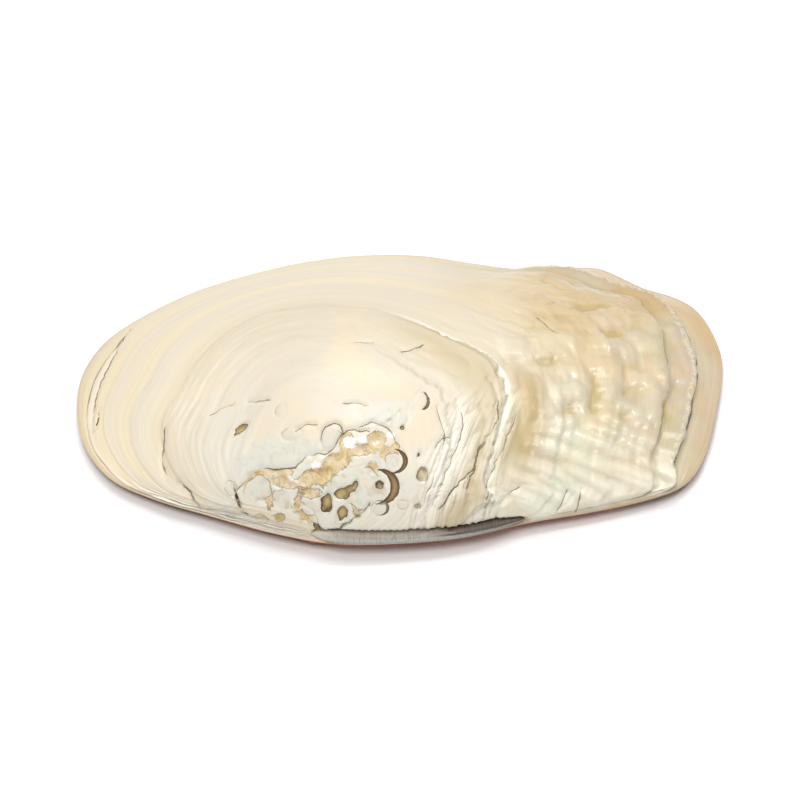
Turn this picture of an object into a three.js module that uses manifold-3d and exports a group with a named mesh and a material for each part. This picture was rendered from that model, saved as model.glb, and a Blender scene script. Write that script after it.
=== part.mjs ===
// The right valve of a large freshwater mussel, ground and polished down to its mother of pearl,
// with the strip of dried ligament that stayed on its hinge. Millimetres, +Z up.
// The valve lies hollow side down. +X is its hind end, +Y its belly edge, and the hinge is on the
// -Y side. The origin is on the surface that it lies on, under the middle of the part.

import * as THREE from "three";
import { mergeVertices } from "three/addons/utils/BufferGeometryUtils.js";
import Module from "manifold-3d";

const { clamp, lerp, smoothstep } = THREE.MathUtils;
const wasm = await Module();
wasm.setup();

// The form of the valve
const DOME_RISE = 27; // the crown above the edge, apart from the swelling towards the beak
const BEAK_SWELLING = 3.5;
const HINGE_LIFT = 4; // the teeth hold the hinge this far off the surface
const EDGE_THICKNESS = 1; // at the outer corner of the edge
const EDGE_BEVEL = 0.35;
const EDGE_LAND = 1.6; // the width of the flat underside of the edge
const HINGE_PLATE = 7; // how much wider the underside is along the hinge
const CROWN_WALL = 4.5; // the wall's thickness at the crown
const LEDGE_DROP = 0.015; // the share of the growth over which a ledge falls away

// The outline seen from above, anticlockwise from under the beak
const MARGIN = [
  [-15, -45.1], [0, -45], [14, -43.2], [28, -39.1], [42, -36], [54, -32.7], [62.7, -28.9],
  [67.5, -23.5], [70.8, -15.2], [73, -7], [75.2, 3], [76, 12], [74.3, 21], [71, 28], [66, 32],
  [59, 35], [53.5, 38.6], [48, 41.6], [40, 41.8], [29, 41.4], [18, 43.2], [5, 45.8],
  [-8, 46.1], [-22, 44.2], [-36, 40], [-50, 34], [-62, 26], [-71, 17], [-75.5, 6],
  [-75.6, -6], [-72.6, -17], [-66, -26.2], [-56, -32], [-44, -36.6], [-29, -41.9],
].map(([x, y]) => new THREE.Vector3(x, y, 0));
const BEAK = new THREE.Vector3(-17, -43.3, 0); // the growth starts here
const CROWN = new THREE.Vector3(-10, -8, 0); // the highest part of the dome

// Each ledge is an old edge of the shell, at a stage of growth from 0 at the beak to 1 at the
// edge. It rises over its run, by so much at the front, the belly and the hind end.
const LEDGES = [
  { stage: 0.3, run: 0.1, front: 0.15, belly: 0.2, hind: 0.6 },
  { stage: 0.44, run: 0.12, front: 0.3, belly: 0.4, hind: 1.6 },
  { stage: 0.58, run: 0.08, front: 0.15, belly: 0.25, hind: 0.5 },
  { stage: 0.73, run: 0.1, front: 0.2, belly: 0.35, hind: 0.5 },
  { stage: 0.845, run: 0.09, front: 0.35, belly: 0.35, hind: 1 },
  { stage: 0.91, run: 0.05, front: 0.15, belly: 0.3, hind: 1.8 },
];
const PLAIN_STAGES = [0.05, 0.11, 0.17, 0.23, 0.37, 0.5, 0.65, 0.96, 1];
const INNER_RINGS = [0.97, 0.91, 0.82, 0.68, 0.5, 0.3, 0.12]; // shares of the way from the crown
const AROUND = 72;

// The slanting folds of the hind slope, low down, between two plan points
const FOLDS = [
  { from: [22.7, -36.9], to: [34.5, -38.2], width: 2.4, height: 0.8 },
  { from: [25, -34.6], to: [37.2, -37.2], width: 2.6, height: 0.9 },
  { from: [25.4, -32.2], to: [44.4, -36.6], width: 2.8, height: 1 },
  { from: [29, -29.2], to: [51.6, -33.8], width: 3, height: 1.1 },
  { from: [30, -26.4], to: [59.4, -31], width: 3.2, height: 1.2 },
  { from: [36.4, -24], to: [60.6, -27.8], width: 3.2, height: 1.3 },
  { from: [39.6, -21], to: [61.4, -24.4], width: 3.2, height: 1.3 },
  { from: [43.4, -17.6], to: [61.6, -20.6], width: 3.2, height: 1.3 },
  { from: [46.6, -13.8], to: [61, -16.6], width: 3.2, height: 1.3 },
];

// The knobs of the hind slope, higher up, in rows along the old edges
const KNOBS = [
  { from: [24.6, -19.4], to: [34.2, -21.2], width: 6, height: 1.1 },
  { from: [25, -12.6], to: [34, -12.8], width: 7, height: 1.3 },
  { from: [25.4, -5], to: [34.2, -3.4], width: 7.3, height: 1.3 },
  { from: [27.4, 4], to: [37.4, 7.2], width: 7.3, height: 1.2 },
  { from: [34.6, -16.6], to: [43.6, -14.8], width: 6.2, height: 1.3 },
  { from: [35.6, -9.6], to: [45.4, -8.4], width: 7, height: 1.4 },
  { from: [36, -1.6], to: [45.6, 1], width: 7.5, height: 1.5 },
  { from: [40, 8.6], to: [50.4, 12.2], width: 7.5, height: 1.4 },
  { from: [46.8, -5.2], to: [56, -3.8], width: 6.8, height: 1.5 },
  { from: [47.4, 3], to: [57, 6.2], width: 7.3, height: 1.5 },
  { from: [45.4, 17.4], to: [55.2, 21.4], width: 6.8, height: 1.2 },
  { from: [51.6, -11], to: [60, -10.4], width: 6, height: 1.4 },
  { from: [57.2, 0.6], to: [66, 2.6], width: 6.8, height: 1.2 },
  { from: [56.4, 12.2], to: [64.6, 15.6], width: 6.8, height: 1.2 },
];

// The pits that the wear has opened round the beak
const PITS = [
  { at: [-35.5, -26.5], length: 4.4, width: 2, slant: 20, depth: 1 },
  { at: [-0.1, -28.2], length: 2.8, width: 2.4, slant: 90, depth: 0.9 },
  { at: [4.4, -24.1], length: 3.8, width: 2.8, slant: 90, depth: 1.3 },
  { at: [4.7, -37.6], length: 3.8, width: 2.6, slant: 90, depth: 1.6 },
  { at: [-4.6, -39.9], length: 5.4, width: 5, slant: 90, depth: 1.1 },
  { at: [-1.6, -36], length: 4.6, width: 4.2, slant: 60, depth: 0.9 },
  { at: [-11.8, -39.6], length: 5.6, width: 2.6, slant: 12, depth: 1.4 },
  { at: [-16.6, -41], length: 3.6, width: 2.8, slant: 60, depth: 1.5 },
  { at: [-20.4, -39.6], length: 4.4, width: 2.6, slant: 160, depth: 1 },
  { at: [-26.6, -36.8], length: 5, width: 3, slant: 170, depth: 1 },
  { at: [-33, -37.4], length: 5, width: 3, slant: 120, depth: 1.2 },
  { at: [-14.6, -33.8], length: 4.4, width: 3, slant: 10, depth: 0.9 },
];

// The teeth of the hinge, whose tips stand on the surface
const TEETH = [
  { from: [-27, -37.4], to: [-15, -41.2], width: 6 },
  { from: [-13, -38.4], to: [-6, -40.4], width: 3.6 },
  { from: [6, -37.8], to: [50, -30.8], width: 3 },
];
const TOOTH_HEIGHT = 6;

// The ligament, seated along the edge behind the beak, with a gap all round
const LIGAMENT = {
  start: -0.0105, // shares of the way round the outline
  end: 0.0848,
  height: { front: 3.8, hind: 2.2 },
  depth: 2.8,
  proud: 0.9,
  seat: 0.9, // the height of its underside over that of the valve
  gap: 0.3,
};

const valveFinish = new THREE.MeshStandardMaterial({ color: "#e9dfc8", roughness: 0.28, metalness: 0 });
const ligamentFinish = new THREE.MeshStandardMaterial({ color: "#b3aca3", roughness: 0.8, metalness: 0 });

// The outline, and the rounder one of the young shell
const marginCurve = new THREE.CatmullRomCurve3(MARGIN, true, "catmullrom", 0.5);
const youngCurve = new THREE.CatmullRomCurve3(MARGIN.map(rounderCorner), true, "catmullrom", 0.5);

function rounderCorner(corner, index) {
  const mean = new THREE.Vector3();
  const reach = 3;
  for (let step = -reach; step <= reach; step += 1) {
    mean.add(MARGIN[(index + step + MARGIN.length) % MARGIN.length]);
  }
  mean.divideScalar(2 * reach + 1);
  return corner.clone().lerp(mean, smoothstep(corner.y, -12, 8));
}

// A plan point of the growth line of one stage. The front grew fast when young, and the hinge
// side of the hind end late.
function growthPoint(stage, turn) {
  const margin = marginCurve.getPoint(turn);
  const early = 0.8 * (1 - smoothstep(margin.x, -60, 60));
  const late = 0.75 * smoothstep(margin.x, 10, 45) * smoothstep(-margin.y, 8, 30);
  const reached = stage * (1 + early * (1 - stage) + late * stage ** 3 * (1 - stage));
  const rim = youngCurve.getPoint(turn).lerp(margin, smoothstep(stage, 0.45, 1));
  return rim.sub(BEAK).multiplyScalar(reached).add(BEAK);
}

// For an outline round the crown, the share of the way out to it at a plan point. The inner part
// of the dome follows a softened outline, so the notches of the edge don't run up to the crown.
function shareWithin(outline) {
  const angles = 720;
  const softened = 50;
  const bin = (arm) => (Math.atan2(arm.y, arm.x) / (2 * Math.PI) + 1) * angles;
  const radii = new Array(angles);
  for (let step = 0; step < 4 * angles; step += 1) {
    const arm = outline(step / (4 * angles)).sub(CROWN);
    radii[Math.floor(bin(arm)) % angles] = arm.length();
  }
  const soft = radii.map((_, index) => {
    let total = 0;
    for (let step = -softened; step <= softened; step += 1) {
      total += radii[(index + step + angles) % angles];
    }
    return total / (2 * softened + 1);
  });
  const sample = (list, place) => {
    const index = Math.floor(place);
    return lerp(list[index % angles], list[(index + 1) % angles], place - index);
  };
  return (arm) => {
    const place = bin(arm) - 0.5;
    const near = smoothstep(arm.length() / sample(soft, place), 0.3, 0.8);
    return clamp(arm.length() / lerp(sample(soft, place), sample(radii, place), near), 0, 1);
  };
}

// The underside's height: level under the belly, lifted by the teeth towards the hinge
function underside(y) {
  return HINGE_LIFT * clamp((30 - y) / 76, 0, 1) ** 1.3;
}

// A dome over the outline, steeper on the side of the hinge. The share is 0 at the crown, 1 at
// the edge, and hingeward is 1 straight towards the hinge.
function domeRise(share, hingeward, rise) {
  return rise * (1 - share ** (1.85 + 0.5 * hingeward)) ** (1 - 0.42 * hingeward);
}

function beakSwelling(x, y, share) {
  const spread = ((x + 16) / 26) ** 2 + ((y + 16) / 17) ** 2;
  return BEAK_SWELLING * Math.exp(-spread) * (1 - share ** 4);
}

function domeHeight(x, y, shareOf, rise, swelling) {
  const arm = new THREE.Vector3(x, y, 0).sub(CROWN);
  const share = shareOf(arm);
  const hingeward = smoothstep(-arm.y / Math.max(arm.length(), 1e-6), 0.2, 0.95);
  return underside(y) + domeRise(share, hingeward, rise) + swelling * beakSwelling(x, y, share);
}

const shareOfMargin = shareWithin((turn) => marginCurve.getPoint(turn));

function outerHeight(x, y) {
  return EDGE_THICKNESS + domeHeight(x, y, shareOfMargin, DOME_RISE, 1);
}

function outerPoint(x, y) {
  return new THREE.Vector3(x, y, outerHeight(x, y));
}

function outerNormal(x, y) {
  const step = 0.4;
  const east = outerPoint(x + step, y).sub(outerPoint(x - step, y));
  const north = outerPoint(x, y + step).sub(outerPoint(x, y - step));
  return east.cross(north).normalize();
}

// How far the ledges stand out of the dome
function ledgeRise(stage, turn) {
  const margin = marginCurve.getPoint(turn);
  const front = 1 - smoothstep(margin.x, -60, -10);
  const hind = smoothstep(margin.x, 10, 55);
  const belly = 1 - front - hind;
  const room = smoothstep(margin.distanceTo(BEAK), 8, 40);
  let total = 0;
  for (const ledge of LEDGES) {
    const rise = front * ledge.front + belly * ledge.belly + hind * ledge.hind;
    const up = smoothstep(stage, ledge.stage - ledge.run, ledge.stage);
    const down = smoothstep(stage, ledge.stage, ledge.stage + LEDGE_DROP);
    total += rise * up * (1 - down) * room;
  }
  return total;
}

// The outline moved inwards, for the rings of the underside
function marginHeading(turn) {
  const step = 0.001;
  return marginCurve.getPoint(turn + step).sub(marginCurve.getPoint(turn - step)).normalize();
}

function insetPoint(turn, inset) {
  const heading = marginHeading(turn);
  const inwards = new THREE.Vector3(-heading.y, heading.x, 0);
  return marginCurve.getPoint(turn).addScaledVector(inwards, inset);
}

function landWidth(turn) {
  const margin = marginCurve.getPoint(turn);
  const along = smoothstep(margin.x, -50, -30) * (1 - smoothstep(margin.x, 40, 60));
  return EDGE_LAND + HINGE_PLATE * along * smoothstep(-margin.y, 20, 32);
}

// The rings that the valve is built from, out from the beak, round the edge and in again
const outerStages = [...PLAIN_STAGES];
for (const ledge of LEDGES) {
  outerStages.push(ledge.stage, ledge.stage + LEDGE_DROP);
}
outerStages.sort((one, other) => one - other);

function outerRing(stage) {
  return (turn) => {
    const spot = growthPoint(stage, turn);
    const surface = outerPoint(spot.x, spot.y);
    return surface.addScaledVector(outerNormal(spot.x, spot.y), ledgeRise(stage, turn));
  };
}

function landRing(share) {
  return (turn) => {
    const spot = insetPoint(turn, EDGE_BEVEL + share * landWidth(turn));
    return spot.setZ(underside(spot.y));
  };
}

const innerEdge = (turn) => insetPoint(turn, EDGE_BEVEL + landWidth(turn));
const shareOfHollow = shareWithin(innerEdge);

function innerRing(share) {
  return (turn) => {
    const spot = CROWN.clone().lerp(innerEdge(turn), share);
    const rise = DOME_RISE + EDGE_THICKNESS - CROWN_WALL;
    return spot.setZ(domeHeight(spot.x, spot.y, shareOfHollow, rise, 0.8));
  };
}

const valveRings = [
  outerRing(0),
  ...outerStages.map(outerRing),
  landRing(0),
  landRing(1),
  ...INNER_RINGS.map(innerRing),
  innerRing(0),
];

// A closed body moulded from a ball, each of whose points moves to its place. The turn runs from
// 0 to 1 round the ball and the level counts its rings from the first pole to the last.
function moulded(around, levels, place) {
  const ball = new THREE.SphereGeometry(1, around, levels);
  ball.deleteAttribute("normal");
  ball.deleteAttribute("uv");
  const body = mergeVertices(ball);
  const { position } = body.attributes;
  const spot = new THREE.Vector3();
  for (let index = 0; index < position.count; index += 1) {
    spot.fromBufferAttribute(position, index);
    const level = Math.round((Math.acos(clamp(spot.y, -1, 1)) / Math.PI) * levels);
    const step = Math.round((Math.atan2(spot.z, -spot.x) / (2 * Math.PI)) * around);
    spot.copy(place(((step + around) % around) / around, level));
    position.setXYZ(index, spot.x, spot.y, spot.z);
  }
  return body;
}

function solid(geometry) {
  return new wasm.Manifold(
    new wasm.Mesh({
      numProp: 3,
      vertProperties: new Float32Array(geometry.attributes.position.array),
      triVerts: new Uint32Array(geometry.index.array),
    }),
  );
}

function geometryOf(body) {
  const { vertProperties, triVerts } = body.getMesh();
  const geometry = new THREE.BufferGeometry();
  geometry.setAttribute("position", new THREE.BufferAttribute(vertProperties, 3));
  geometry.setIndex(new THREE.BufferAttribute(triVerts, 1));
  geometry.computeVertexNormals();
  return geometry;
}

// A long lump between two plan points, tapered at both ends. The lift function gives the place
// over a plan point at a height of -1 to 1 through the lump.
function lump(from, to, width, around, lift) {
  const levels = 5;
  const start = new THREE.Vector2(...from);
  const end = new THREE.Vector2(...to);
  const heading = end.clone().sub(start).normalize();
  const sideways = new THREE.Vector2(-heading.y, heading.x);
  const place = (turn, level) => {
    const slope = (level / levels) * Math.PI;
    const along = (Math.cos(slope) + 1) / 2;
    const across = Math.sin(turn * 2 * Math.PI) * Math.sin(slope);
    const up = -Math.cos(turn * 2 * Math.PI) * Math.sin(slope);
    const spot = start.clone().lerp(end, along).addScaledVector(sideways, (across * width) / 2);
    return lift(spot.x, spot.y, up);
  };
  return solid(moulded(around, levels, place));
}

function onShell(height) {
  return (x, y, up) => outerPoint(x, y).addScaledVector(outerNormal(x, y), up * height);
}

function ridge({ from, to, width, height }) {
  const around = 6;
  return lump(from, to, width, around, onShell(height));
}

function pit({ at, length, width, slant, depth }) {
  const around = 7;
  const angle = THREE.MathUtils.degToRad(slant);
  const half = new THREE.Vector2(Math.cos(angle), Math.sin(angle)).multiplyScalar(length / 2);
  const [x, y] = at;
  const from = [x - half.x, y - half.y];
  const to = [x + half.x, y + half.y];
  return lump(from, to, width, around, onShell(depth));
}

// A tooth hangs from the hinge plate and is worn flat where it stands
function tooth({ from, to, width }) {
  const around = 10;
  const hang = (x, y, up) => new THREE.Vector3(x, y, underside(y) + up * TOOTH_HEIGHT);
  const room = new THREE.BoxGeometry(400, 400, 100);
  room.deleteAttribute("normal");
  room.deleteAttribute("uv");
  const aboveSurface = solid(mergeVertices(room.translate(0, 0, 50)));
  return lump(from, to, width, around, hang).intersect(aboveSurface);
}

// The ligament, or with some allowance all round the recess that it sits in
function ligamentBody(allowance) {
  const around = 10;
  const levels = 18;
  const { start, end, height, depth, proud, seat } = LIGAMENT;
  const place = (turn, level) => {
    const along = 1 - level / levels;
    const station = lerp(start, end, along);
    const heading = marginHeading(station);
    const inwards = new THREE.Vector3(-heading.y, heading.x, 0);
    const fullness = Math.min(1, Math.sin(Math.PI * along) / 0.45) ** 0.5;
    const tall = lerp(height.front, height.hind, along);
    const sideways = allowance * Math.min(1, fullness * 4);
    const endwards = allowance * (level === 0) - allowance * (level === levels);
    const across = roundedSquare(Math.sin(turn * 2 * Math.PI), 0.7);
    const up = roundedSquare(-Math.cos(turn * 2 * Math.PI), 0.7);
    const middle = marginCurve.getPoint(station);
    return middle
      .addScaledVector(heading, endwards)
      .addScaledVector(inwards, depth / 2 - proud + across * ((depth / 2) * fullness + sideways))
      .setZ(underside(middle.y) + seat + tall / 2 + up * ((tall / 2) * fullness + sideways));
  };
  return solid(moulded(around, levels, place));
}

function roundedSquare(value, power) {
  return Math.sign(value) * Math.abs(value) ** power;
}

function valveBody() {
  let body = solid(moulded(AROUND, valveRings.length - 1, (turn, level) => valveRings[level](turn)));
  for (const raised of [...FOLDS, ...KNOBS].map(ridge)) {
    body = body.add(raised);
  }
  for (const hollow of PITS.map(pit)) {
    body = body.subtract(hollow);
  }
  for (const hanging of TEETH.map(tooth)) {
    body = body.add(hanging);
  }
  return body.subtract(ligamentBody(LIGAMENT.gap));
}

function piece(name, body, finish) {
  const mesh = new THREE.Mesh(geometryOf(body), finish);
  mesh.name = name;
  return mesh;
}

const part = new THREE.Group();
part.add(piece("valve", valveBody(), valveFinish));
part.add(piece("ligament", ligamentBody(0), ligamentFinish));

// Set the origin under the middle of the whole part
const bounds = new THREE.Box3().setFromObject(part);
const middle = bounds.getCenter(new THREE.Vector3());
part.position.set(-middle.x, -middle.y, -bounds.min.z);
part.updateMatrixWorld(true);

export default part;
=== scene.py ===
# %% [markdown]
# A polished river mussel valve.
# The real thing is one half of a large freshwater mussel. Its brown skin and chalky outer layer
# were ground away, and the mother of pearl under them was polished. It lies hollow side down and
# shows its hinge side, with a grey strip of dried ligament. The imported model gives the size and
# the place of both pieces, so it is loaded first and nothing in it is moved.

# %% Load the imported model
import math

import bmesh
import bpy
import numpy as np
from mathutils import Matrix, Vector


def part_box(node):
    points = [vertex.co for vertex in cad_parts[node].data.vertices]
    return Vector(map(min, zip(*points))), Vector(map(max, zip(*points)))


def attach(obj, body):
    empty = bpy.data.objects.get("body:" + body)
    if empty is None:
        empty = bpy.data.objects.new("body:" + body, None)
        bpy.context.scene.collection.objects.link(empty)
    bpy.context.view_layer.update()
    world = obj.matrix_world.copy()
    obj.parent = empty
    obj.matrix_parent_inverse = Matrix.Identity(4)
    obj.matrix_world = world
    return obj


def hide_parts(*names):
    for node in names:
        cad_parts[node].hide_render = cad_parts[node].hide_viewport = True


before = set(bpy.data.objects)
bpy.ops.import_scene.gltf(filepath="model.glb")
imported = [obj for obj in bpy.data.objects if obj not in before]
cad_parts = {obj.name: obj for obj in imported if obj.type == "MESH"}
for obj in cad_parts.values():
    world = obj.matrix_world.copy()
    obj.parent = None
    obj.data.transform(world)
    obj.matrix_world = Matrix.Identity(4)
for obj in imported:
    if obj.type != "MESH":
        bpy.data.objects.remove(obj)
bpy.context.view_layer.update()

# %% [markdown]
# The form is worked out in millimetres, in the plan of the shell: x runs to the hind end, y to
# the belly edge and z up. These few points are the outline, anticlockwise from under the beak.
# A shell could be sculpted by hand, but a real one is grown, so here its form comes from a rule
# of growth: each growth line is the outline shrunk towards the beak.

# %% The outline and the driving dimensions
MM = 0.001
MARGIN = np.array([
    (-15, -45.1), (0, -45), (14, -43.2), (28, -39.1), (42, -36), (54, -32.7), (62.7, -28.9),
    (67.5, -23.5), (70.8, -15.2), (73, -7), (75.2, 3), (76, 12), (74.3, 21), (71, 28), (66, 32),
    (59, 35), (53.5, 38.6), (48, 41.6), (40, 41.8), (29, 41.4), (18, 43.2), (5, 45.8),
    (-8, 46.1), (-22, 44.2), (-36, 40), (-50, 34), (-62, 26), (-71, 17), (-75.5, 6),
    (-75.6, -6), (-72.6, -17), (-66, -26.2), (-56, -32), (-44, -36.6), (-29, -41.9),
])
BEAK = np.array((-17.0, -43.3))
CROWN = np.array((-10.0, -8.0))
DOME_RISE = 27.0
BEAK_SWELLING = 3.5
HINGE_LIFT = 4.0
EDGE_THICKNESS = 1.0
EDGE_BEVEL = 0.35
EDGE_LAND = 1.6
HINGE_PLATE = 7.0
CROWN_WALL = 4.5
print("outline", MARGIN.min(axis=0), "to", MARGIN.max(axis=0), "mm")

# %% [markdown]
# Three helpers serve the whole lesson: an even slope between two values, a mix of two things, and
# a smooth closed curve through given points. The outline could be drawn as a Bezier curve, but
# this one can be asked for any point on it, which the rule of growth needs.

# %% Slopes, mixes and the closed curve
def smooth(value, low, high):
    """0 below low, 1 above high, and an even slope between them."""
    share = np.clip((value - low) / (high - low), 0, 1)
    return share * share * (3 - 2 * share)


def mixed(one, other, share):
    return one + (other - one) * share


def round_curve(points, turn):
    """The point at a turn from 0 to 1 along a closed smooth curve through the points."""
    count = len(points)
    place = np.mod(turn, 1.0) * count
    first = np.floor(place).astype(int) % count
    part = (place - np.floor(place))[..., None]
    a, b, c, d = (points[(first + step) % count] for step in (-1, 0, 1, 2))
    return 0.5 * (2 * b + (c - a) * part + (2 * a - 5 * b + 4 * c - d) * part**2
                  + (3 * b - a - 3 * c + d) * part**3)


def margin_at(turn):
    return round_curve(MARGIN, turn)


# The young shell had none of the notches that the belly edge has now
around_mean = sum(np.roll(MARGIN, step, axis=0) for step in range(-3, 4)) / 7
young_share = smooth(MARGIN[:, 1:], -12, 8)
YOUNG_MARGIN = mixed(MARGIN, around_mean, young_share)
print("young belly edge at", YOUNG_MARGIN[:, 1].max().round(1), "mm")


# %% [markdown]
# A growth line is where the edge of the shell once was. The front end grew fast while the animal
# was young, and the hinge side of the hind end grew late, so the lines crowd there. The stage
# runs from 0 at the beak to 1 at the edge, and the turn runs from 0 to 1 round the outline.

# %% Where the growth lines run
HINGE_STAGE = 0.31  # the stage that reaches the hinge edge at x = 0
HINGE_STAGES_PER_MM = 0.0097
CROWDING = 26.0


def reached_at(stage, turn):
    """How far towards the edge the shell had grown at a stage: 0 at the beak, 1 at the edge."""
    margin = margin_at(turn)
    early = 0.8 * (1 - smooth(margin[..., 0], -60, 60))
    reached = stage * (1 + early * (1 - stage))
    ends = np.clip(HINGE_STAGE + HINGE_STAGES_PER_MM * margin[..., 0], 0.14, 1)
    hinge = smooth(-margin[..., 1], 15, 30) * smooth(margin[..., 0], -22, -8)
    met = 1 - np.logaddexp(0, CROWDING * (1 - stage / ends)) / CROWDING
    return mixed(reached, met * (1 - 0.03 * (1 - stage)), hinge)


def growth_point(stage, turn):
    grown = smooth(stage, 0.45, 1.0)[..., None]
    rim = mixed(round_curve(YOUNG_MARGIN, turn), margin_at(turn), grown)
    return BEAK + reached_at(stage, turn)[..., None] * (rim - BEAK)


print("half grown, the belly edge was at", growth_point(np.array(0.5), np.array(0.6)).round(1))

# %% [markdown]
# The underside of the edge is bounded by lines that run beside the outline, a set distance inside
# it. It is narrow at the belly and widens along the hinge to a plate, where the teeth stand.

# %% Lines beside the outline
def heading_at(turn):
    ahead = margin_at(turn + 0.001) - margin_at(turn - 0.001)
    return ahead / np.linalg.norm(ahead, axis=-1, keepdims=True)


def inset_point(turn, inset):
    ahead = heading_at(turn)
    inwards = np.stack((-ahead[..., 1], ahead[..., 0]), axis=-1)
    return margin_at(turn) + inwards * inset[..., None]


def land_width(turn):
    """The width of the flat underside: narrow at the belly, a broad plate at the hinge."""
    margin = margin_at(turn)
    along = smooth(margin[..., 0], -50, -30) * (1 - smooth(margin[..., 0], 40, 60))
    return EDGE_LAND + HINGE_PLATE * along * smooth(-margin[..., 1], 20, 32)


print("underside", land_width(np.array(0.6)), "mm at the belly,", land_width(np.array(0.0)),
      "mm at the hinge")

# %% [markdown]
# The dome rises over the outline. A point's share is 0 at the crown and 1 at the outline, and
# the height is a power of that share, steeper on the side of the hinge. The inner part of the
# dome follows a softened outline, so the notches of the edge don't run up to the crown.

# %% The share of the way from the crown
ANGLES = 720
SOFTENED = 50


def share_within(outline):
    turns = np.arange(4 * ANGLES) / (4 * ANGLES)
    arms = outline(turns) - CROWN
    bins = (np.arctan2(arms[:, 1], arms[:, 0]) / (2 * math.pi) + 1) * ANGLES
    radii = np.zeros(ANGLES)
    radii[np.floor(bins).astype(int) % ANGLES] = np.linalg.norm(arms, axis=1)
    soft = sum(np.roll(radii, step) for step in range(-SOFTENED, SOFTENED + 1))
    soft = soft / (2 * SOFTENED + 1)

    def sample(values, place):
        index = np.floor(place).astype(int)
        return mixed(values[index % ANGLES], values[(index + 1) % ANGLES], place - index)

    def share(x, y):
        out_x = x - CROWN[0]
        out_y = y - CROWN[1]
        distance = np.hypot(out_x, out_y)
        place = (np.arctan2(out_y, out_x) / (2 * math.pi) + 1) * ANGLES - 0.5
        near = smooth(distance / sample(soft, place), 0.3, 0.8)
        reach = mixed(sample(soft, place), sample(radii, place), near)
        return np.clip(distance / reach, 0, 1)

    return share


share_of_margin = share_within(margin_at)
share_of_hollow = share_within(lambda turn: inset_point(turn, EDGE_BEVEL + land_width(turn)))
print("share at the beak", share_of_margin(*BEAK[:, None]).round(2))

# %% [markdown]
# The underside, the outside and the hollow are three short rules on that share. The hollow starts
# lower by the thickness of the wall. The direction out of a surface comes from its slopes.

# %% The dome and the hollow
def underside(y):
    """Level under the belly, lifted by the teeth towards the hinge."""
    return HINGE_LIFT * np.clip((30 - y) / 76, 0, 1) ** 1.3


def dome_height(x, y, share_of, rise, swelling):
    share = share_of(x, y)
    distance = np.maximum(np.hypot(x - CROWN[0], y - CROWN[1]), 1e-6)
    hingeward = smooth(-(y - CROWN[1]) / distance, 0.2, 0.95)
    dome = rise * (1 - share ** (1.85 + 0.5 * hingeward)) ** (1 - 0.42 * hingeward)
    spread = ((x + 16) / 26) ** 2 + ((y + 16) / 17) ** 2
    return underside(y) + dome + swelling * BEAK_SWELLING * np.exp(-spread) * (1 - share**4)


def outer_height(x, y):
    return EDGE_THICKNESS + dome_height(x, y, share_of_margin, DOME_RISE, 1.0)


def inner_height(x, y):
    return dome_height(x, y, share_of_hollow, DOME_RISE + EDGE_THICKNESS - CROWN_WALL, 0.8)


def normals(x, y, height_of):
    step = 0.4
    slope_x = (height_of(x + step, y) - height_of(x - step, y)) / (2 * step)
    slope_y = (height_of(x, y + step) - height_of(x, y - step)) / (2 * step)
    away = np.stack((-slope_x, -slope_y, np.ones_like(x)), axis=-1)
    return away / np.linalg.norm(away, axis=-1, keepdims=True)


print("crown", round(float(outer_height(*CROWN[:, None])[0]), 1), "mm over the surface")


# %% [markdown]
# Nothing that grew is even. Grain is a field of smooth random hills, always the same for the
# same seed, and it roughens the growth lines, the worn patch and the edge. It closes on itself
# after a given number of hills, so it has no seam where the turn comes round to its start.

# %% Smooth random hills
def grain(x, y, seed, period=64):
    hills = np.random.default_rng(seed).uniform(-1, 1, (64, period))
    left = np.floor(x).astype(int)
    low = np.floor(y).astype(int)
    across = smooth(x - left, 0, 1)
    along = smooth(y - low, 0, 1)
    near = mixed(hills[left % 64, low % period], hills[(left + 1) % 64, low % period], across)
    far = mixed(hills[left % 64, (low + 1) % period],
                hills[(left + 1) % 64, (low + 1) % period], across)
    return mixed(near, far, along)


# %% [markdown]
# The ledges are old edges of the shell, where growth stopped for a time. Each rises over its run
# and then drops. The table gives its stage, its run and how high it stands at the front, the
# belly and the hind end.

# %% The ledges
LEDGES = [
    (0.30, 0.10, 0.15, 0.2, 0.6),
    (0.44, 0.12, 0.3, 0.4, 1.6),
    (0.58, 0.08, 0.15, 0.25, 0.5),
    (0.73, 0.10, 0.2, 0.35, 0.5),
    (0.845, 0.09, 0.35, 0.35, 1.0),
    (0.91, 0.05, 0.15, 0.3, 1.8),
]
print("ledges", len(LEDGES))


def regions(turn):
    """How much a turn belongs to the front, the belly and the hind end, and its room to grow."""
    margin = margin_at(turn)
    front = 1 - smooth(margin[..., 0], -60, -10)
    hind = smooth(margin[..., 0], 10, 55)
    room = smooth(np.linalg.norm(margin - BEAK, axis=-1), 8, 40)
    return front, 1 - front - hind, hind, room


# %% [markdown]
# Three of the old edges wander on the real shell. Each has a path here, in pairs of a turn and a
# stage, and the age of the shell is set right beside it, so that ledge, colours and cracks all
# follow the same path.

# %% The old edges that wander
OLD_EDGES = {
    0.44: [(0.05, 0.44), (0.12, 0.45), (0.19, 0.385), (0.25, 0.405), (0.31, 0.438), (0.40, 0.449),
           (0.46, 0.44)],
    0.845: [(0.27, 0.845), (0.33, 0.846), (0.36, 0.862), (0.41, 0.88), (0.45, 0.85), (0.72, 0.86),
            (0.75, 0.876), (0.777, 0.82), (0.80, 0.84), (0.838, 0.86), (0.859, 0.883),
            (0.872, 0.856), (0.887, 0.886), (0.92, 0.85)],
    0.91: [(0.16, 0.93), (0.203, 0.906), (0.258, 0.918), (0.275, 0.912), (0.30, 0.922),
           (0.334, 0.91), (0.36, 0.911), (0.40, 0.935), (0.44, 0.92), (0.50, 0.91)],
}
EDGE_REACH = 0.05


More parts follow.
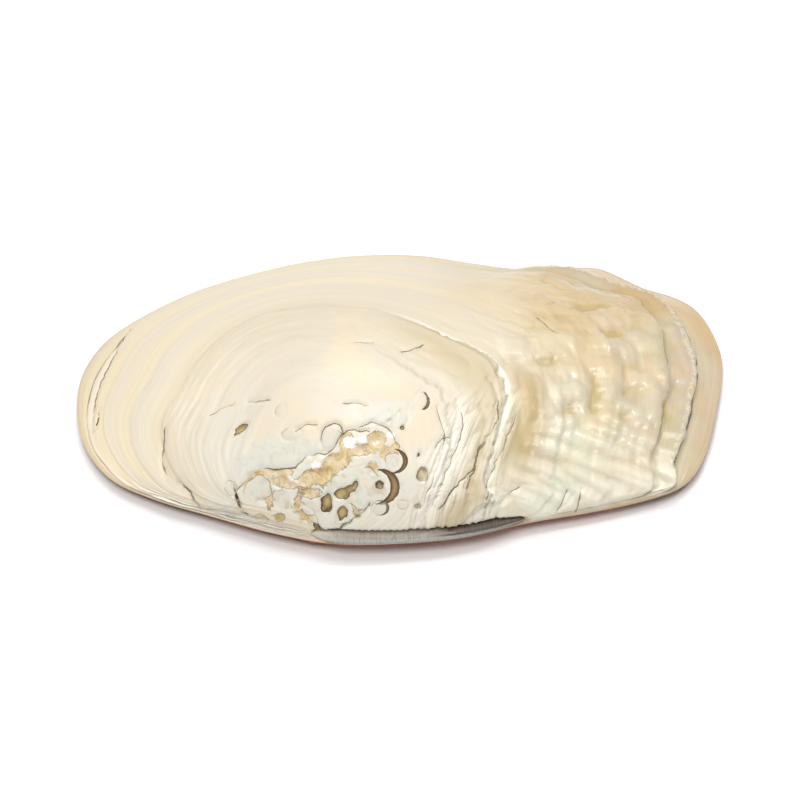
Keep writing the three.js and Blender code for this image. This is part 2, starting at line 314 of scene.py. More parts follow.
def age_at(stage, turn):
    """The stage of growth, set right so that the old edges lie where they do on the real shell."""
    age = stage.copy()
    for edge, path in OLD_EDGES.items():
        turns, stages = np.array(path).T
        shift = np.interp(turn, turns, stages - edge, left=0, right=0)
        age -= shift * np.exp(-(((stage - edge) / EDGE_REACH) ** 2))
    return age


def ledge_relief(stage, turn):
    front, belly, hind, room = regions(turn)
    ragged = 0.006 * grain(turn * 60, stage * 12, 3, 60)
    ragged = ragged + 0.005 * grain(turn * 150, stage * 5, 4, 150)
    total = np.zeros_like(stage)
    for at, run, front_rise, belly_rise, hind_rise in LEDGES:
        rise = front * front_rise + belly * belly_rise + hind * hind_rise
        up = smooth(stage, at - run, at)
        down = smooth(stage + ragged, at, at + 0.012)
        total += rise * up * (1 - down) * room
    return total


print("old edges that wander", len(OLD_EDGES), "of", len(LEDGES))

# %% [markdown]
# Behind the beak the growth lines crowd into a fan of sharp furrows. A furrow is where smooth
# random hills pass through zero: one less their size, raised to a high power, is a narrow line.

# %% The fan of furrows
FAN_HINGE = -42.0  # the plan y where the fan's two sides are given
FAN_FRONT = 1.5
FAN_HIND = 23.5


def bundle_at(x, y):
    """The share across the fan of furrows behind the beak, and how deep they are there."""
    front_side = FAN_FRONT + 0.52 * (y - FAN_HINGE)
    hind_side = FAN_HIND + 0.25 * (y - FAN_HINGE)
    share = (x - front_side) / (hind_side - front_side)
    deep = smooth(share, -0.1, 0.2) * (1 - smooth(share, 0.7, 1.05)) * (1 - smooth(y, -24, -13))
    return share, deep


def furrows(x, y):
    """Sharp furrows in the fan, from 0 on the flat to 1 at the bottom of a furrow."""
    share, deep = bundle_at(x, y)
    waver = 0.35 * grain(y / 3.1, share * 5, 15)
    coarse = grain(share * 13 + waver, y / 7 + 9, 11)
    fine = grain(share * 27 + 2 * waver, y / 5 + 9, 12)
    return deep * np.maximum((1 - np.abs(coarse)) ** 5, 0.6 * (1 - np.abs(fine)) ** 5)


print("the fan is", FAN_HIND - FAN_FRONT, "mm wide at the hinge")

# %% [markdown]
# Between the ledges run finer growth lines in three sizes, stronger at the hind end. The random
# hills are stretched along the turn, so they become lines that follow the growth.

# %% The fine growth lines
def line_relief(stage, turn):
    front, belly, hind, room = regions(turn)
    broad = grain(stage * 14 + 0.4 * grain(turn * 8, stage * 3, 5, 8), turn * 5, 6, 5)
    medium = grain(stage * 46 + 0.5 * grain(turn * 14, stage * 6, 7, 14), turn * 9, 8, 9)
    fine = grain(stage * 88 + 0.4 * grain(turn * 24, stage * 9, 9, 24), turn * 16, 10, 16)
    relief = (0.08 + 0.1 * hind) * broad + (0.03 + 0.14 * hind) * medium
    relief += (0.02 + 0.07 * hind) * fine - hind * 0.22 * (1 - np.abs(medium)) ** 5
    return relief * room * smooth(stage, 0.2, 0.4) * (1 - smooth(stage, 0.965, 1.0))


# %% [markdown]
# The hind slope is folded like a washboard. Low down the folds are long, slanting ridges with a
# gentle side and a steep one. Higher up they break into broad knobs, with dips between them.
# Each is a line in the plan, given by its two ends, its width and its height or depth. Sculpting
# them by hand would be quicker, but then no number could be mended.

# %% Folds and knobs of the hind slope
FOLDS = [
    ((43.2, -28.8), (57.9, -30.0), 2.6, 0.55), ((45.2, -26.1), (50.6, -26.6), 2.3, 0.5),
    ((48.5, -23.4), (54.9, -24.2), 2.3, 0.5), ((37.3, -31.1), (49.9, -33.2), 2.6, 0.55),
    ((30.1, -33.0), (35.7, -34.6), 2.2, 0.5), ((27.8, -35.1), (37.6, -36.1), 2.3, 0.5),
    ((26.1, -37.1), (33.8, -38.1), 2.0, 0.4), ((45.6, -17.7), (52.3, -21.0), 2.6, 0.6),
    ((42.6, -21.2), (51.9, -22.7), 2.4, 0.55), ((38.4, -24.0), (50.3, -26.1), 2.5, 0.55),
    ((28.8, -27.5), (41.3, -29.0), 2.8, 0.6), ((26.6, -31.5), (38.7, -33.3), 2.5, 0.55),
    ((24.5, -33.5), (31.3, -35.1), 2.0, 0.45), ((24.9, -36.1), (30.5, -37.4), 1.9, 0.4),
    ((35.7, -28.4), (56.1, -31.2), 2.3, 0.5), ((53.8, -26.4), (61.9, -27.8), 2.6, 0.55),
    ((51.1, -20.9), (60.9, -22.6), 2.6, 0.5), ((31.8, -24.6), (40.6, -25.7), 2.4, 0.55),
    ((35.1, -33.3), (46.3, -35.3), 2.2, 0.45), ((55.5, -15.5), (62.5, -17.6), 2.8, 0.5),
]
KNOBS = [
    ((28.3, -12.5), (28.9, -21.8), 4.6, 1.0), ((33.4, -15.7), (41.0, -12.9), 5.0, 1.1),
    ((31.1, -20.7), (34.1, -19.5), 3.4, 0.8), ((31.7, -22.2), (31.4, -25.0), 3.4, 0.7),
    ((34.6, -22.4), (38.4, -21.0), 3.2, 0.7), ((53.7, -2.6), (53.8, -7.4), 4.4, 0.7),
    ((49.5, -12.8), (51.1, -14.8), 3.6, 0.7), ((45.9, -4.4), (50.9, -3.1), 5.5, 0.7),
    ((57.6, -5.4), (56.1, -15.9), 4.0, 0.9), ((45.9, 12.7), (54.0, 15.1), 6.0, 0.7),
    ((53.4, 8.0), (59.9, 6.5), 6.0, 0.7), ((30.9, 0.0), (40.3, 1.7), 6.5, 0.8),
    ((45.6, 1.9), (54.2, 4.1), 5.5, 0.8), ((35.4, -8.9), (41.7, -6.9), 5.5, 0.8),
    ((53.1, -12.6), (53.3, -18.4), 3.6, 0.6), ((45.5, -10.2), (49.6, -9.2), 4.4, 0.7),
    ((58.9, -1.0), (66.0, 1.6), 6.5, 0.7), ((57.4, 12.8), (64.6, 15.6), 6.5, 0.6),
    ((22.6, -4.2), (28.2, -3.4), 5.5, 0.6), ((24.0, -11.6), (25.4, -16.6), 4.0, 0.6),
]
DIPS = [
    ((46.0, 7.0), (51.6, 9.2), 3.0, 0.7), ((31.4, -6.9), (36.9, -4.6), 3.0, 0.7),
    ((23.0, -9.2), (26.7, -7.6), 2.6, 0.5), ((41.0, 14.6), (49.1, 17.8), 3.2, 0.6),
    ((35.6, -20.6), (38.6, -17.8), 2.6, 0.6), ((26.4, -20.7), (27.0, -27.8), 2.6, 0.5),
    ((39.7, 6.5), (42.9, 5.0), 2.6, 0.4), ((47.0, -11.6), (49.6, -11.0), 2.4, 0.4),
    ((44.3, -7.3), (43.4, -18.1), 2.4, 0.5), ((29.7, 2.9), (37.1, 5.4), 3.0, 0.4),
    ((59.8, -4.4), (60.6, -13.0), 2.4, 0.4),
]
print(len(FOLDS), "folds", len(KNOBS), "knobs", len(DIPS), "dips")

# %% [markdown]
# A fold falls off with the distance from its line, in a straight slope on each side, and a knob
# in a rounded one. Where two meet the higher one wins, as on the shell. Their lines wander a
# little, and fine creases and pits lie over them all.

# %% How the folds, knobs and dips stand
def beside_line(x, y, start, end):
    """The share along a line in the plan, and the distance to its left, for every point."""
    start = np.array(start)
    ahead = np.array(end) - start
    length = np.linalg.norm(ahead)
    ahead = ahead / length
    along = ((x - start[0]) * ahead[0] + (y - start[1]) * ahead[1]) / length
    left = (y - start[1]) * ahead[0] - (x - start[0]) * ahead[1]
    return along, left


def fold_relief(x, y, stage, turn):
    wander = 0.45 * grain(x / 5, y / 5, 21)
    breaks = 0.8 + 0.35 * grain(stage * 34, turn * 26, 22, 26)
    total = np.zeros_like(x)
    for start, end, width, height in FOLDS:
        along, left = beside_line(x, y, start, end)
        left = left + wander
        body = smooth(along, -0.25, 0.15) * (1 - smooth(along, 0.8, 1.2))
        steep = np.where(left < 0, 0.4, 0.75) * width
        crest = np.clip(1 - np.abs(left) / (1.2 * steep), 0, 1) ** 1.1
        total = np.maximum(total, 1.35 * height * body * crest * (0.6 + 0.4 * breaks))
    for start, end, width, height in KNOBS:
        along, left = beside_line(x + 1.6 * wander, y + 1.8 * wander, start, end)
        body = smooth(along, -0.3, 0.15) * (1 - smooth(along, 0.8, 1.2))
        across = np.abs(left) / (np.where(left < 0, 0.5, 0.62) * width)
        crest = np.exp(-(across**2.4))
        total = np.maximum(total, height * body * crest * (0.6 + 0.5 * breaks))
    for start, end, width, depth in DIPS:
        along, left = beside_line(x + 1.2 * wander, y + 1.2 * wander, start, end)
        body = smooth(along, -0.3, 0.2) * (1 - smooth(along, 0.75, 1.3))
        total -= depth * body * np.exp(-((left / (0.5 * width)) ** 2))
    slope = smooth(x, 14, 28) * smooth(stage, 0.46, 0.56) * (1 - smooth(stage, 0.9, 0.97))
    high_up = smooth(y, -26, -12)
    creases = (1 - np.abs(grain(x / 3.6 + wander, y / 2.4, 23))) ** 6
    pits = (1 - np.abs(grain(x / 2.1, y / 1.2 + wander, 25))) ** 6
    lumps = 0.2 * grain(x / 3.4 + wander, y / 2.3, 26) + 0.08 * grain(x / 1.5, y / 1.1, 24)
    return total + slope * (high_up * (lumps - 0.25 * creases) - 0.05 * pits)


# %% [markdown]
# Round the beak the shell is oldest, and acid water and grinding have eaten through its layers.
# The marks there are listed by kind. Each is an ellipse that lies on the surface, given by its
# place in the plan, its length and width in millimetres and its slant in degrees, and each has a
# ragged outline, because none is drawn with a compass.

# %% The marks round the beak
HOLES = [
    (-5.0, -39.5, 1.6, 2.0, 90), (-16.6, -41.8, 4.8, 2.7, 78), (-13.3, -40.8, 3.2, 2.6, 20),
    (-11.7, -40.2, 3.2, 1.3, 24), (-10.2, -39.7, 2.4, 1.4, 80), (-13.2, -43.2, 4.2, 2.4, 78),
    (4.5, -37.7, 3.6, 2.5, 90), (0.1, -30.0, 1.3, 1.0, 0), (-2.7, -28.9, 1.0, 0.8, 0),
    (3.6, -34.8, 2.3, 0.8, 80), (3.6, -42.1, 2.0, 1.6, 80), (-35.6, -26.4, 4.2, 1.6, 30),
    (-18.5, -44.0, 3.6, 1.1, 130), (-36.5, -37.3, 4.4, 0.8, 108), (-34.2, -39.6, 4.0, 0.7, 150),
    (-70.2, -11.0, 3.4, 0.9, 78),
]
HALF_MOONS = [
    (-1.4, -35.9, 5.2, 5.2, 0, 0.9), (-4.6, -39.9, 8.0, 8.0, 8, 1.8),
    (4.5, -24.1, 4.0, 3.1, 90, 0.6), (-4.8, -42.6, 3.9, 3.6, 0, 0.5),
]
OUTLINES = [
    (0.1, -28.2, 3.2, 2.7, 90), (-15.4, -31.9, 6.4, 4.6, 60), (4.3, -23.9, 4.0, 3.0, 90),
    (-26.8, -25.3, 3.2, 2.1, 60), (0.3, -42.0, 2.5, 2.3, 0), (-4.8, -42.6, 3.9, 3.6, 0),
    (-24.2, -30.4, 4.6, 2.8, 10), (9.2, -33.4, 4.4, 3.2, 40),
    (-38.0, -35.5, 3.4, 3.0, 90),
]
OCHRES = [
    (-26.1, -37.7, 7.5, 3.0, 0), (-19.1, -38.1, 8.3, 4.1, 10), (-14.5, -36.4, 7.5, 4.1, 25),
    (-9.3, -34.3, 7.5, 2.6, 0), (-5.5, -32.6, 4.1, 4.1, 0), (-19.8, -40.1, 4.9, 2.6, 10),
    (-29.3, -38.9, 5.6, 1.5, 90), (-23.0, -41.0, 6.0, 1.5, 80), (-31.2, -40.7, 3.0, 2.3, 0),
    (-26.9, -41.6, 2.3, 1.5, 90), (-6.5, -37.2, 3.0, 2.6, 90), (-1.6, -33.7, 2.6, 1.9, 90),
    (-21.3, -42.6, 4.5, 3.0, 150), (-10.0, -43.0, 4.9, 1.5, 90), (-27.5, -36.1, 8.3, 1.5, 5),
    (-33.9, -35.6, 3.8, 1.1, 45), (-12.2, -33.4, 3.0, 5.6, 0), (-3.6, -34.6, 2.0, 3.0, 0),
]
# painted highlights: white spots that stand in for glints on the worn patch
PAINTED_GLINTS = [
    (-11.4, -33.2, 3.4, 3.0, 0), (-18.7, -36.2, 3.4, 2.3, 0), (-24.1, -37.6, 2.6, 1.5, 0),
    (-8.6, -32.6, 1.9, 1.9, 0), (-5.5, -33.0, 1.7, 1.1, 0), (-2.3, -31.6, 2.6, 1.9, 0),
]
PEARLY = [
    (-32.0, -37.6, 6.4, 4.4, 35), (-26.0, -40.0, 4.6, 5.4, 20), (-11.0, -38.3, 8.6, 4.2, 20),
    (-6.9, -40.3, 7.6, 6.6, 0), (-1.5, -35.9, 4.2, 4.0, 0), (-19.8, -41.8, 3.6, 2.6, 0),
    (-9.3, -41.5, 6.0, 5.6, 0),
]
WORN = [
    (-28.0, -33.5, 24.0, 11.0, 12), (-20.0, -38.0, 34.0, 11.0, 8), (2.0, -39.5, 8.0, 8.0, 0),
    (-40.0, -37.0, 11.0, 7.0, -20), (-6.0, -28.0, 20.0, 8.0, 0),
]
MARKS = HOLES + HALF_MOONS + OUTLINES + OCHRES + PAINTED_GLINTS + PEARLY + WORN
print("marks round the beak", len(MARKS))

# %% [markdown]
# For every point of the surface, the distance out of the nearest mark of a kind is one number.
# The relief and the colours both read it, so a stain always lies in its own hollow. A half-moon
# is an ellipse less the same ellipse moved to the front.

# %% How far each point is out of the marks
def surface_at(x, y):
    return np.stack((x, y, outer_height(x, y)), axis=-1)


def around_mark(surface, at_x, at_y, length, width, slant):
    """How far out of an ellipse on the surface each point is, 1 on its outline."""
    middle_x = np.array([at_x])
    middle_y = np.array([at_y])
    up = normals(middle_x, middle_y, outer_height)[0]
    right = np.array((1.0, 0, 0)) - up * up[0]
    right /= np.linalg.norm(right)
    back = np.cross(up, right)
    arm = surface - surface_at(middle_x, middle_y)[0]
    sideways = arm @ right
    backwards = arm @ back
    turned = math.radians(slant)
    along = sideways * math.cos(turned) + backwards * math.sin(turned)
    across = backwards * math.cos(turned) - sideways * math.sin(turned)
    return np.hypot(along / (length / 2), across / (width / 2))


def out_of(surface, marks):
    """Millimetres out of the nearest mark, negative inside it."""
    nearest = np.full(surface.shape[:-1], 9.0)
    for mark in marks:
        half = min(mark[2], mark[3]) / 2
        nearest = np.minimum(nearest, (around_mark(surface, *mark) - 1) * half)
    return nearest


def out_of_half_moons(surface):
    """The same for the half-moons."""
    nearest = np.full(surface.shape[:-1], 9.0)
    for at_x, at_y, length, width, slant, thick in HALF_MOONS:
        whole = (around_mark(surface, at_x, at_y, length, width, slant) - 1) * width / 2
        rest = (around_mark(surface, at_x - thick, at_y, length, width, slant) - 1) * width / 2
        nearest = np.minimum(nearest, np.maximum(whole, -rest))
    return nearest


# %% [markdown]
# Cracks and the edges of broken layers are paths over the plan, each with its width in
# millimetres. Cutting them into the mesh would need far more faces than the rest of the shell.

# %% Cracks and broken layers
CRACKS = [
    (0.55, [(18.5, -15.3), (20.7, -18.4), (20.6, -25.3), (17.4, -30.2), (15.3, -35.9),
            (14.4, -38.4)]),
    (0.3, [(25.5, -22.5), (23.2, -27.9), (21.4, -31.9), (19.4, -35.5), (18.4, -38.6)]),
    (0.4, [(18.3, -29.2), (14.8, -35.6), (11.6, -38.8), (8.2, -42.2)]),
    (0.28, [(25.9, -35.3), (22.8, -37.5), (21.2, -40.6)]),
    (0.3, [(36.8, -34.2), (34.8, -37.1), (33.4, -39.2)]),
    (0.35, [(40.1, -33.6), (38.6, -37.9)]),
    (0.3, [(11.8, -22.2), (13.3, -27.8), (10.9, -34.6), (6.6, -41.6)]),
    (0.22, [(7.6, -25.0), (9.2, -30.6), (8.2, -35.0), (4.8, -41.8)]),
    (0.4, [(-36.1, -36.3), (-33.9, -35.2), (-31.1, -34.7), (-27.5, -35.7), (-23.3, -35.9),
            (-20.4, -34.6), (-15.5, -34.4), (-13.5, -31.6), (-10.7, -31.0), (-7.5, -31.2)]),
    (0.35, [(-8.9, -30.1), (-5.8, -29.5), (-2.3, -31.1), (-1.1, -33.1)]),
    (0.3, [(-12.8, -25.9), (-10.7, -25.6), (-7.6, -26.1)]),
    (0.3, [(-42.8, -21.3), (-40.3, -20.7), (-37.4, -20.5)]),
    (0.45, [(-34.1, -21.3), (-29.4, -22.5)]),
    (0.3, [(-23.3, -29.9), (-21.8, -29.3), (-19.0, -29.6)]),
    (0.5, [(-21.9, -40.9), (-19.8, -42.2), (-18.1, -44.2)]),
    (0.45, [(-15.3, -44.6), (-11.5, -44.2), (-9.0, -43.5), (-7.2, -42.2)]),
    (0.3, [(7.5, -32.9), (8.5, -31.2), (10.3, -30.6)]),
    (0.3, [(-17.9, -32.6), (-17.0, -30.2), (-14.2, -29.4), (-13.0, -31.2)]),
    (0.5, [(-11.1, -10.1), (-8.9, -10.2), (-6.7, -9.7)]), (0.45, [(0.2, -11.7), (4.5, -9.4)]),
    (0.6, [(-53.3, -20.4), (-53.6, -24.1), (-53.8, -27.4), (-53.0, -29.2)]),
    (0.6, [(-50.4, -31.2), (-48.7, -32.3), (-47.1, -34.1), (-45.0, -36.1)]),
    (0.5, [(31.5, 8.0), (33.6, 5.6), (36.0, 3.6)]),
    (0.5, [(-64.9, 18.5), (-66.9, 10.0), (-68.0, 6.8), (-70.3, -0.5), (-71.2, -4.6),
           (-71.5, -12.8)]),
    (0.35, [(37.4, -17.0), (39.0, -15.8), (40.6, -15.4)]),
]
print("cracks", len(CRACKS))

# %% [markdown]
# Each point learns two numbers about the nearest crack. One is the distance across it, negative
# on its right, and the shader draws its dark line where that passes through zero, so it stays
# thin between far vertices. The other is 1 close by, and keeps the line from running on.

# %% How far each point is from the cracks
def rounded(path):
    """The same path with its corners rounded by two more points on each stretch."""
    points = np.array([path[0], *path, path[-1]])
    stretches = [round_curve(points[at:at + 4], (1 + np.arange(3) / 3) / 4)
                 for at in range(len(path) - 1)]
    return [*np.concatenate(stretches), np.array(path[-1])]


def beside_cracks(x, y):
    """The signed distance across the nearest crack, in its half widths, and 1 close to it."""
    off_x = x + 0.3 * grain(x / 1.3, y / 1.3, 61)
    off_y = y + 0.3 * grain(x / 1.3, y / 1.3, 62)
    nearest = np.full_like(x, 9.0)
    side = np.full_like(x, 9.0)
    close = np.zeros_like(x)
    for width, path in CRACKS:
        path = rounded(path)
        for start, end in zip(path, path[1:]):
            along, left = beside_line(off_x, off_y, start, end)
            past = np.maximum(np.maximum(-along, along - 1), 0) * math.dist(start, end)
            apart = np.hypot(left, past)
            nearer = apart < nearest
            side = np.where(nearer, left / (width / 2), side)
            ending = 1 - smooth(past, 0.1, 0.5)
            close = np.where(nearer, (1 - smooth(np.abs(left), 0.7, 1.3)) * ending, close)
            nearest = np.minimum(nearest, apart)
    return side, close


# %% [markdown]
# Under the marks of the beak the surface sinks: deep and flat in the holes and half-moons, and
# shallow and rugged in the stained patch, where the islands of pearl stay up.

# %% The relief of the beak
def beak_relief(surface):
    x = surface[..., 0]
    y = surface[..., 1]
    holes = 1 - smooth(out_of(surface, HOLES), -0.4, 0.1)
    moons = 1 - smooth(out_of_half_moons(surface), -0.4, 0.1)
    stained = 1 - smooth(out_of(surface, OCHRES), -0.5, 0.25)
    islands = 1 - smooth(out_of(surface, PEARLY), -0.4, 0.2)
    rings = np.exp(-((out_of(surface, OUTLINES) / 0.3) ** 2))
    rugged = 0.26 * grain(x / 1.6, y / 1.3, 33) + 0.14 * grain(x / 0.8, y / 0.7, 34)
    sunk = stained * (1 - islands) * (0.35 - rugged)
    return -0.75 * np.maximum(holes, moons) - sunk - 0.12 * rings


# %% [markdown]
# Along the front of the hinge edge thin layers flake off, each a little lower than the last.

# %% The flaky edge
def flake_relief(age, turn, x, y):
    """Thin layers flake off along the front of the hinge edge."""
    where = smooth(-y, 24, 36) * smooth(-x, 14, 28) * smooth(age, 0.5, 0.75)
    layers = grain(age * 70 + 2 * grain(turn * 70, age * 10, 71, 70), turn * 40, 72, 40)
    return where * (0.25 + 0.45 * layers)


# %% [markdown]
# The ligament lies on a ledge in the edge, behind the beak. Its start and end are shares of the
# way round the outline and the rest is in millimetres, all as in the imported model. A Boolean cut
# would leave ragged faces here, so the points that are in its way are pushed inwards instead.

# %% The ledge under the ligament
LIGAMENT_START = -0.0105
LIGAMENT_END = 0.0848
LIGAMENT_FRONT = 3.8
LIGAMENT_HIND = 2.2
LIGAMENT_DEPTH = 2.8
LIGAMENT_PROUD = 0.9
LIGAMENT_SEAT = 0.9
LIGAMENT_GAP = 0.3


def ligament_size(along):
    """How tall the ligament is at a share of its length, and how full: 0 at its ends."""
    arch = np.sin(math.pi * np.clip(along, 0, 1))
    fullness = np.minimum(1, arch / 0.45) ** 0.5
    return mixed(LIGAMENT_FRONT, LIGAMENT_HIND, along), fullness


def recessed(points):
    """Sinks the ledge that the ligament lies in into the edge behind the beak."""
    stations = np.linspace(LIGAMENT_START, LIGAMENT_END, 400)
    station = np.interp(points[..., 0], margin_at(stations)[:, 0], stations)
    along = (station - LIGAMENT_START) / (LIGAMENT_END - LIGAMENT_START)
    tall, fullness = ligament_size(along)
    middle = margin_at(station)
    ahead = heading_at(station)
    inwards = np.stack((-ahead[..., 1], ahead[..., 0]), axis=-1)
    inset = ((points[..., :2] - middle) * inwards).sum(axis=-1)
    over = points[..., 2] - underside(middle[..., 1]) - LIGAMENT_SEAT - tall / 2
    half = tall / 2 * fullness + LIGAMENT_GAP
    within = (1 - smooth(np.abs(over), half - 0.1, half + 0.5)) * (inset < LIGAMENT_DEPTH + 1)
    deep = (LIGAMENT_DEPTH - LIGAMENT_PROUD + LIGAMENT_GAP) * np.minimum(1, 3 * fullness)
    push = np.maximum(inset, deep * within) - inset
    moved = points.copy()
    moved[..., :2] += inwards * push[..., None]
    return moved


# %% [markdown]
# The relief of the whole outside is the sum of all these, measured out of the dome. It fades at
# the edge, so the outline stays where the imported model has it.

# %% The whole outside
FADE_AT_EDGE = 0.985
CRACK_DEPTH = 0.3
FURROW_DEPTH = 0.6


def outside(stage, turn):
    spot = growth_point(stage, turn)
    x = spot[..., 0]
    y = spot[..., 1]
    age = age_at(stage, turn)
    relief = ledge_relief(age, turn) + line_relief(age, turn)
    surface = surface_at(x, y)
    relief += fold_relief(x, y, stage, turn) + beak_relief(surface)
    across, close = beside_cracks(x, y)
    relief -= CRACK_DEPTH * close * np.exp(-(across**2) / 6) + FURROW_DEPTH * furrows(x, y)
    relief -= flake_relief(age, turn, x, y)
    relief *= 1 - smooth(reached_at(stage, turn), FADE_AT_EDGE, 1.0)
    return recessed(surface + normals(x, y, outer_height) * relief[..., None])


# %% [markdown]
# The underside has the flat land that the valve lies on and, along the hinge, a broad plate with
# the teeth that once locked the two valves together: a ragged one under the beak and a long,
# straight one behind it. Their tips are worn level with the surface they stand on. Inside, the
# hollow keeps the scars of the muscles and the faint line where the mantle was attached.

# %% The teeth and the inside
TEETH = [
    ((-27.0, -37.4), (-15.0, -41.2), 3.0), ((-13.0, -38.4), (-6.0, -40.4), 1.8),
    ((6.0, -37.8), (50.0, -30.8), 1.5),
]
TOOTH_HEIGHT = 6.0
SCARS = [
    (-54.0, -12.0, 8.0, 10.0, 0.9), (-47.0, -24.0, 3.5, 3.0, 0.8), (52.0, -10.0, 10.0, 9.0, 0.5),
]
MANTLE_LINE = 0.8
MANTLE_GROOVE = 0.25


def tooth_drop(x, y):
    drop = np.zeros_like(x)
    for start, end, half in TEETH:
        along, left = beside_line(x, y, start, end)
        body = np.sqrt(np.clip(1 - (2 * along - 1) ** 2, 0, 1))
        rough = 1 + 0.12 * grain(x / 1.3, y / 1.3, 41)
        across = np.sqrt(np.clip(1 - (left * rough / (half * np.maximum(body, 0.05))) ** 2, 0, 1))
        drop = np.maximum(drop, TOOTH_HEIGHT * body * across)
    return drop


def land_point(share, turn):
    spot = inset_point(turn, EDGE_BEVEL + share * land_width(turn))
    x = spot[..., 0]
    y = spot[..., 1]
    z = np.maximum(underside(y) - tooth_drop(x, y), 0)
    return np.stack((x, y, z), axis=-1)


def inside_point(share, turn):
    rim = inset_point(turn, EDGE_BEVEL + land_width(turn))
    spot = mixed(CROWN, rim, share[..., None])
    x = spot[..., 0]
    y = spot[..., 1]
    z = inner_height(x, y)
    for at_x, at_y, half_x, half_y, deep in SCARS:
        out = np.hypot((x - at_x) / half_x, (y - at_y) / half_y)
        z = z + deep * (1 - smooth(out, 0.8, 1.05)) * (1 + 0.3 * grain(x / 1.6, y / 1.6, 43))
    mantle = np.exp(-(((share - MANTLE_LINE) / 0.012) ** 2)) * smooth(y, -30, -12)
    z = z + MANTLE_GROOVE * mantle + 0.12 * grain(x / 7, y / 7, 44) * (1 - share**6)
    z = np.maximum(z - tooth_drop(x, y) * smooth(share, 0.9, 1.0), underside(y) * (share < 1))
    return np.stack((x, y, z), axis=-1)


# %% [markdown]
# A ball has the same build as a shell wall: one pole becomes the beak and the other the middle
# of the hollow, and its rings become growth lines, edge, hinge plate and inside. The rings of
# the outside are closer near the beak, where the marks are small.

# %% Where each ring of a ball goes
AROUND = 344
OUTER_RINGS = 226
BEVEL_RINGS = 3
LAND_RINGS = 14
INNER_RINGS = 40
ALL_RINGS = OUTER_RINGS + BEVEL_RINGS + LAND_RINGS + INNER_RINGS


def valve_points(ring, turn):
    """The place of each vertex, by its ring and its turn, and its stage of growth."""
    points = np.zeros(ring.shape + (3,))
    share = np.clip(ring / OUTER_RINGS, 0, 1)
    stage = share * (0.62 + 0.38 * share)
    on_outside = ring <= OUTER_RINGS
    points[on_outside] = outside(stage[on_outside], turn[on_outside])
    rim = outside(np.ones_like(turn), turn)

    past = ring - OUTER_RINGS
    on_bevel = (past > 0) & (past <= BEVEL_RINGS)
    slope = past[on_bevel] / BEVEL_RINGS * math.pi / 2
    spot = inset_point(turn[on_bevel], EDGE_BEVEL * (1 - np.cos(slope)))
    low = underside(spot[:, 1])
    height = mixed(rim[on_bevel][:, 2], low, np.sin(slope))
    points[on_bevel] = np.stack((spot[:, 0], spot[:, 1], height), axis=-1)

    past = past - BEVEL_RINGS
    on_land = (past > 0) & (past <= LAND_RINGS)
    points[on_land] = land_point(past[on_land] / LAND_RINGS, turn[on_land])

    past = past - LAND_RINGS
    on_inside = past > 0
    share = 1 - (past[on_inside] / INNER_RINGS) ** 1.15
    points[on_inside] = inside_point(share, turn[on_inside])
    return points, stage


print("rings", ALL_RINGS, "of", AROUND, "vertices")

# %% [markdown]
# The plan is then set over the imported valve: the same middle along x and the same belly edge. The
# relief stands out of the form, so the whole is drawn in a little to stay within the model.

# %% From the plan into the frame
outline = margin_at(np.arange(4000) / 4000)
low_corner, high_corner = (np.array(corner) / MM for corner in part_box("valve"))
SHIFT = np.array((
    (low_corner[0] + high_corner[0]) / 2 - (outline[:, 0].min() + outline[:, 0].max()) / 2,
    high_corner[1] - outline[:, 1].max(),
    0,
))
DRAWN_IN = np.array((0.9992, 0.9994, 0.99))
print("the packed valve lies", SHIFT.round(2), "mm from the plan")


def in_frame(points):
    return (points * DRAWN_IN + SHIFT) * MM


# %% [markdown]
# Now the operator makes the ball, and each vertex is carried to its place. A lofted surface would
# need its ends closed by hand, while a ball is closed from the start.

# %% Make the valve from a ball
valve_mesh = bmesh.new()
bmesh.ops.create_uvsphere(valve_mesh, u_segments=AROUND, v_segments=ALL_RINGS, radius=1)
ball = np.array([vertex.co for vertex in valve_mesh.verts])
valve_ring = np.round(np.arccos(np.clip(ball[:, 2], -1, 1)) / math.pi * ALL_RINGS)
valve_turn = np.mod(np.arctan2(ball[:, 1], ball[:, 0]) / (2 * math.pi), 1.0)
valve_points_mm, valve_stage = valve_points(valve_ring, valve_turn)
for vertex, place in zip(valve_mesh.verts, in_frame(valve_points_mm)):
    vertex.co = Vector(place)
for face in valve_mesh.faces:
    face.smooth = True
print("valve", len(valve_mesh.verts), "vertices", len(valve_mesh.faces), "faces")


# %% [markdown]
# A finished piece rides on its body and stands in for the plain solid of the same name.

# %% Turn a bmesh into an object
def finished(name, shape, body, slot, *nodes):
    data = bpy.data.meshes.new(name)
    shape.to_mesh(data)
    shape.free()
    piece = bpy.data.objects.new(name, data)
    bpy.context.scene.collection.objects.link(piece)
    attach(piece, body)
    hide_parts(*nodes)
    return piece


valve = finished("polished_valve", valve_mesh, "root", "nacre", "valve")
print(valve.name, "stands in for the plain valve")

# %% [markdown]
# The ligament was the spring that opened the shell. Dried, it is grey and horn-like, made of
# fibres that run from valve to valve, so they show as fine upright ridges, with layers along it.
# It too starts as a ball, whose poles become its ends.

# %% Make the ligament from a ball
LIGAMENT_AROUND = 72
LIGAMENT_LEVELS = 420
SQUARENESS = 0.7

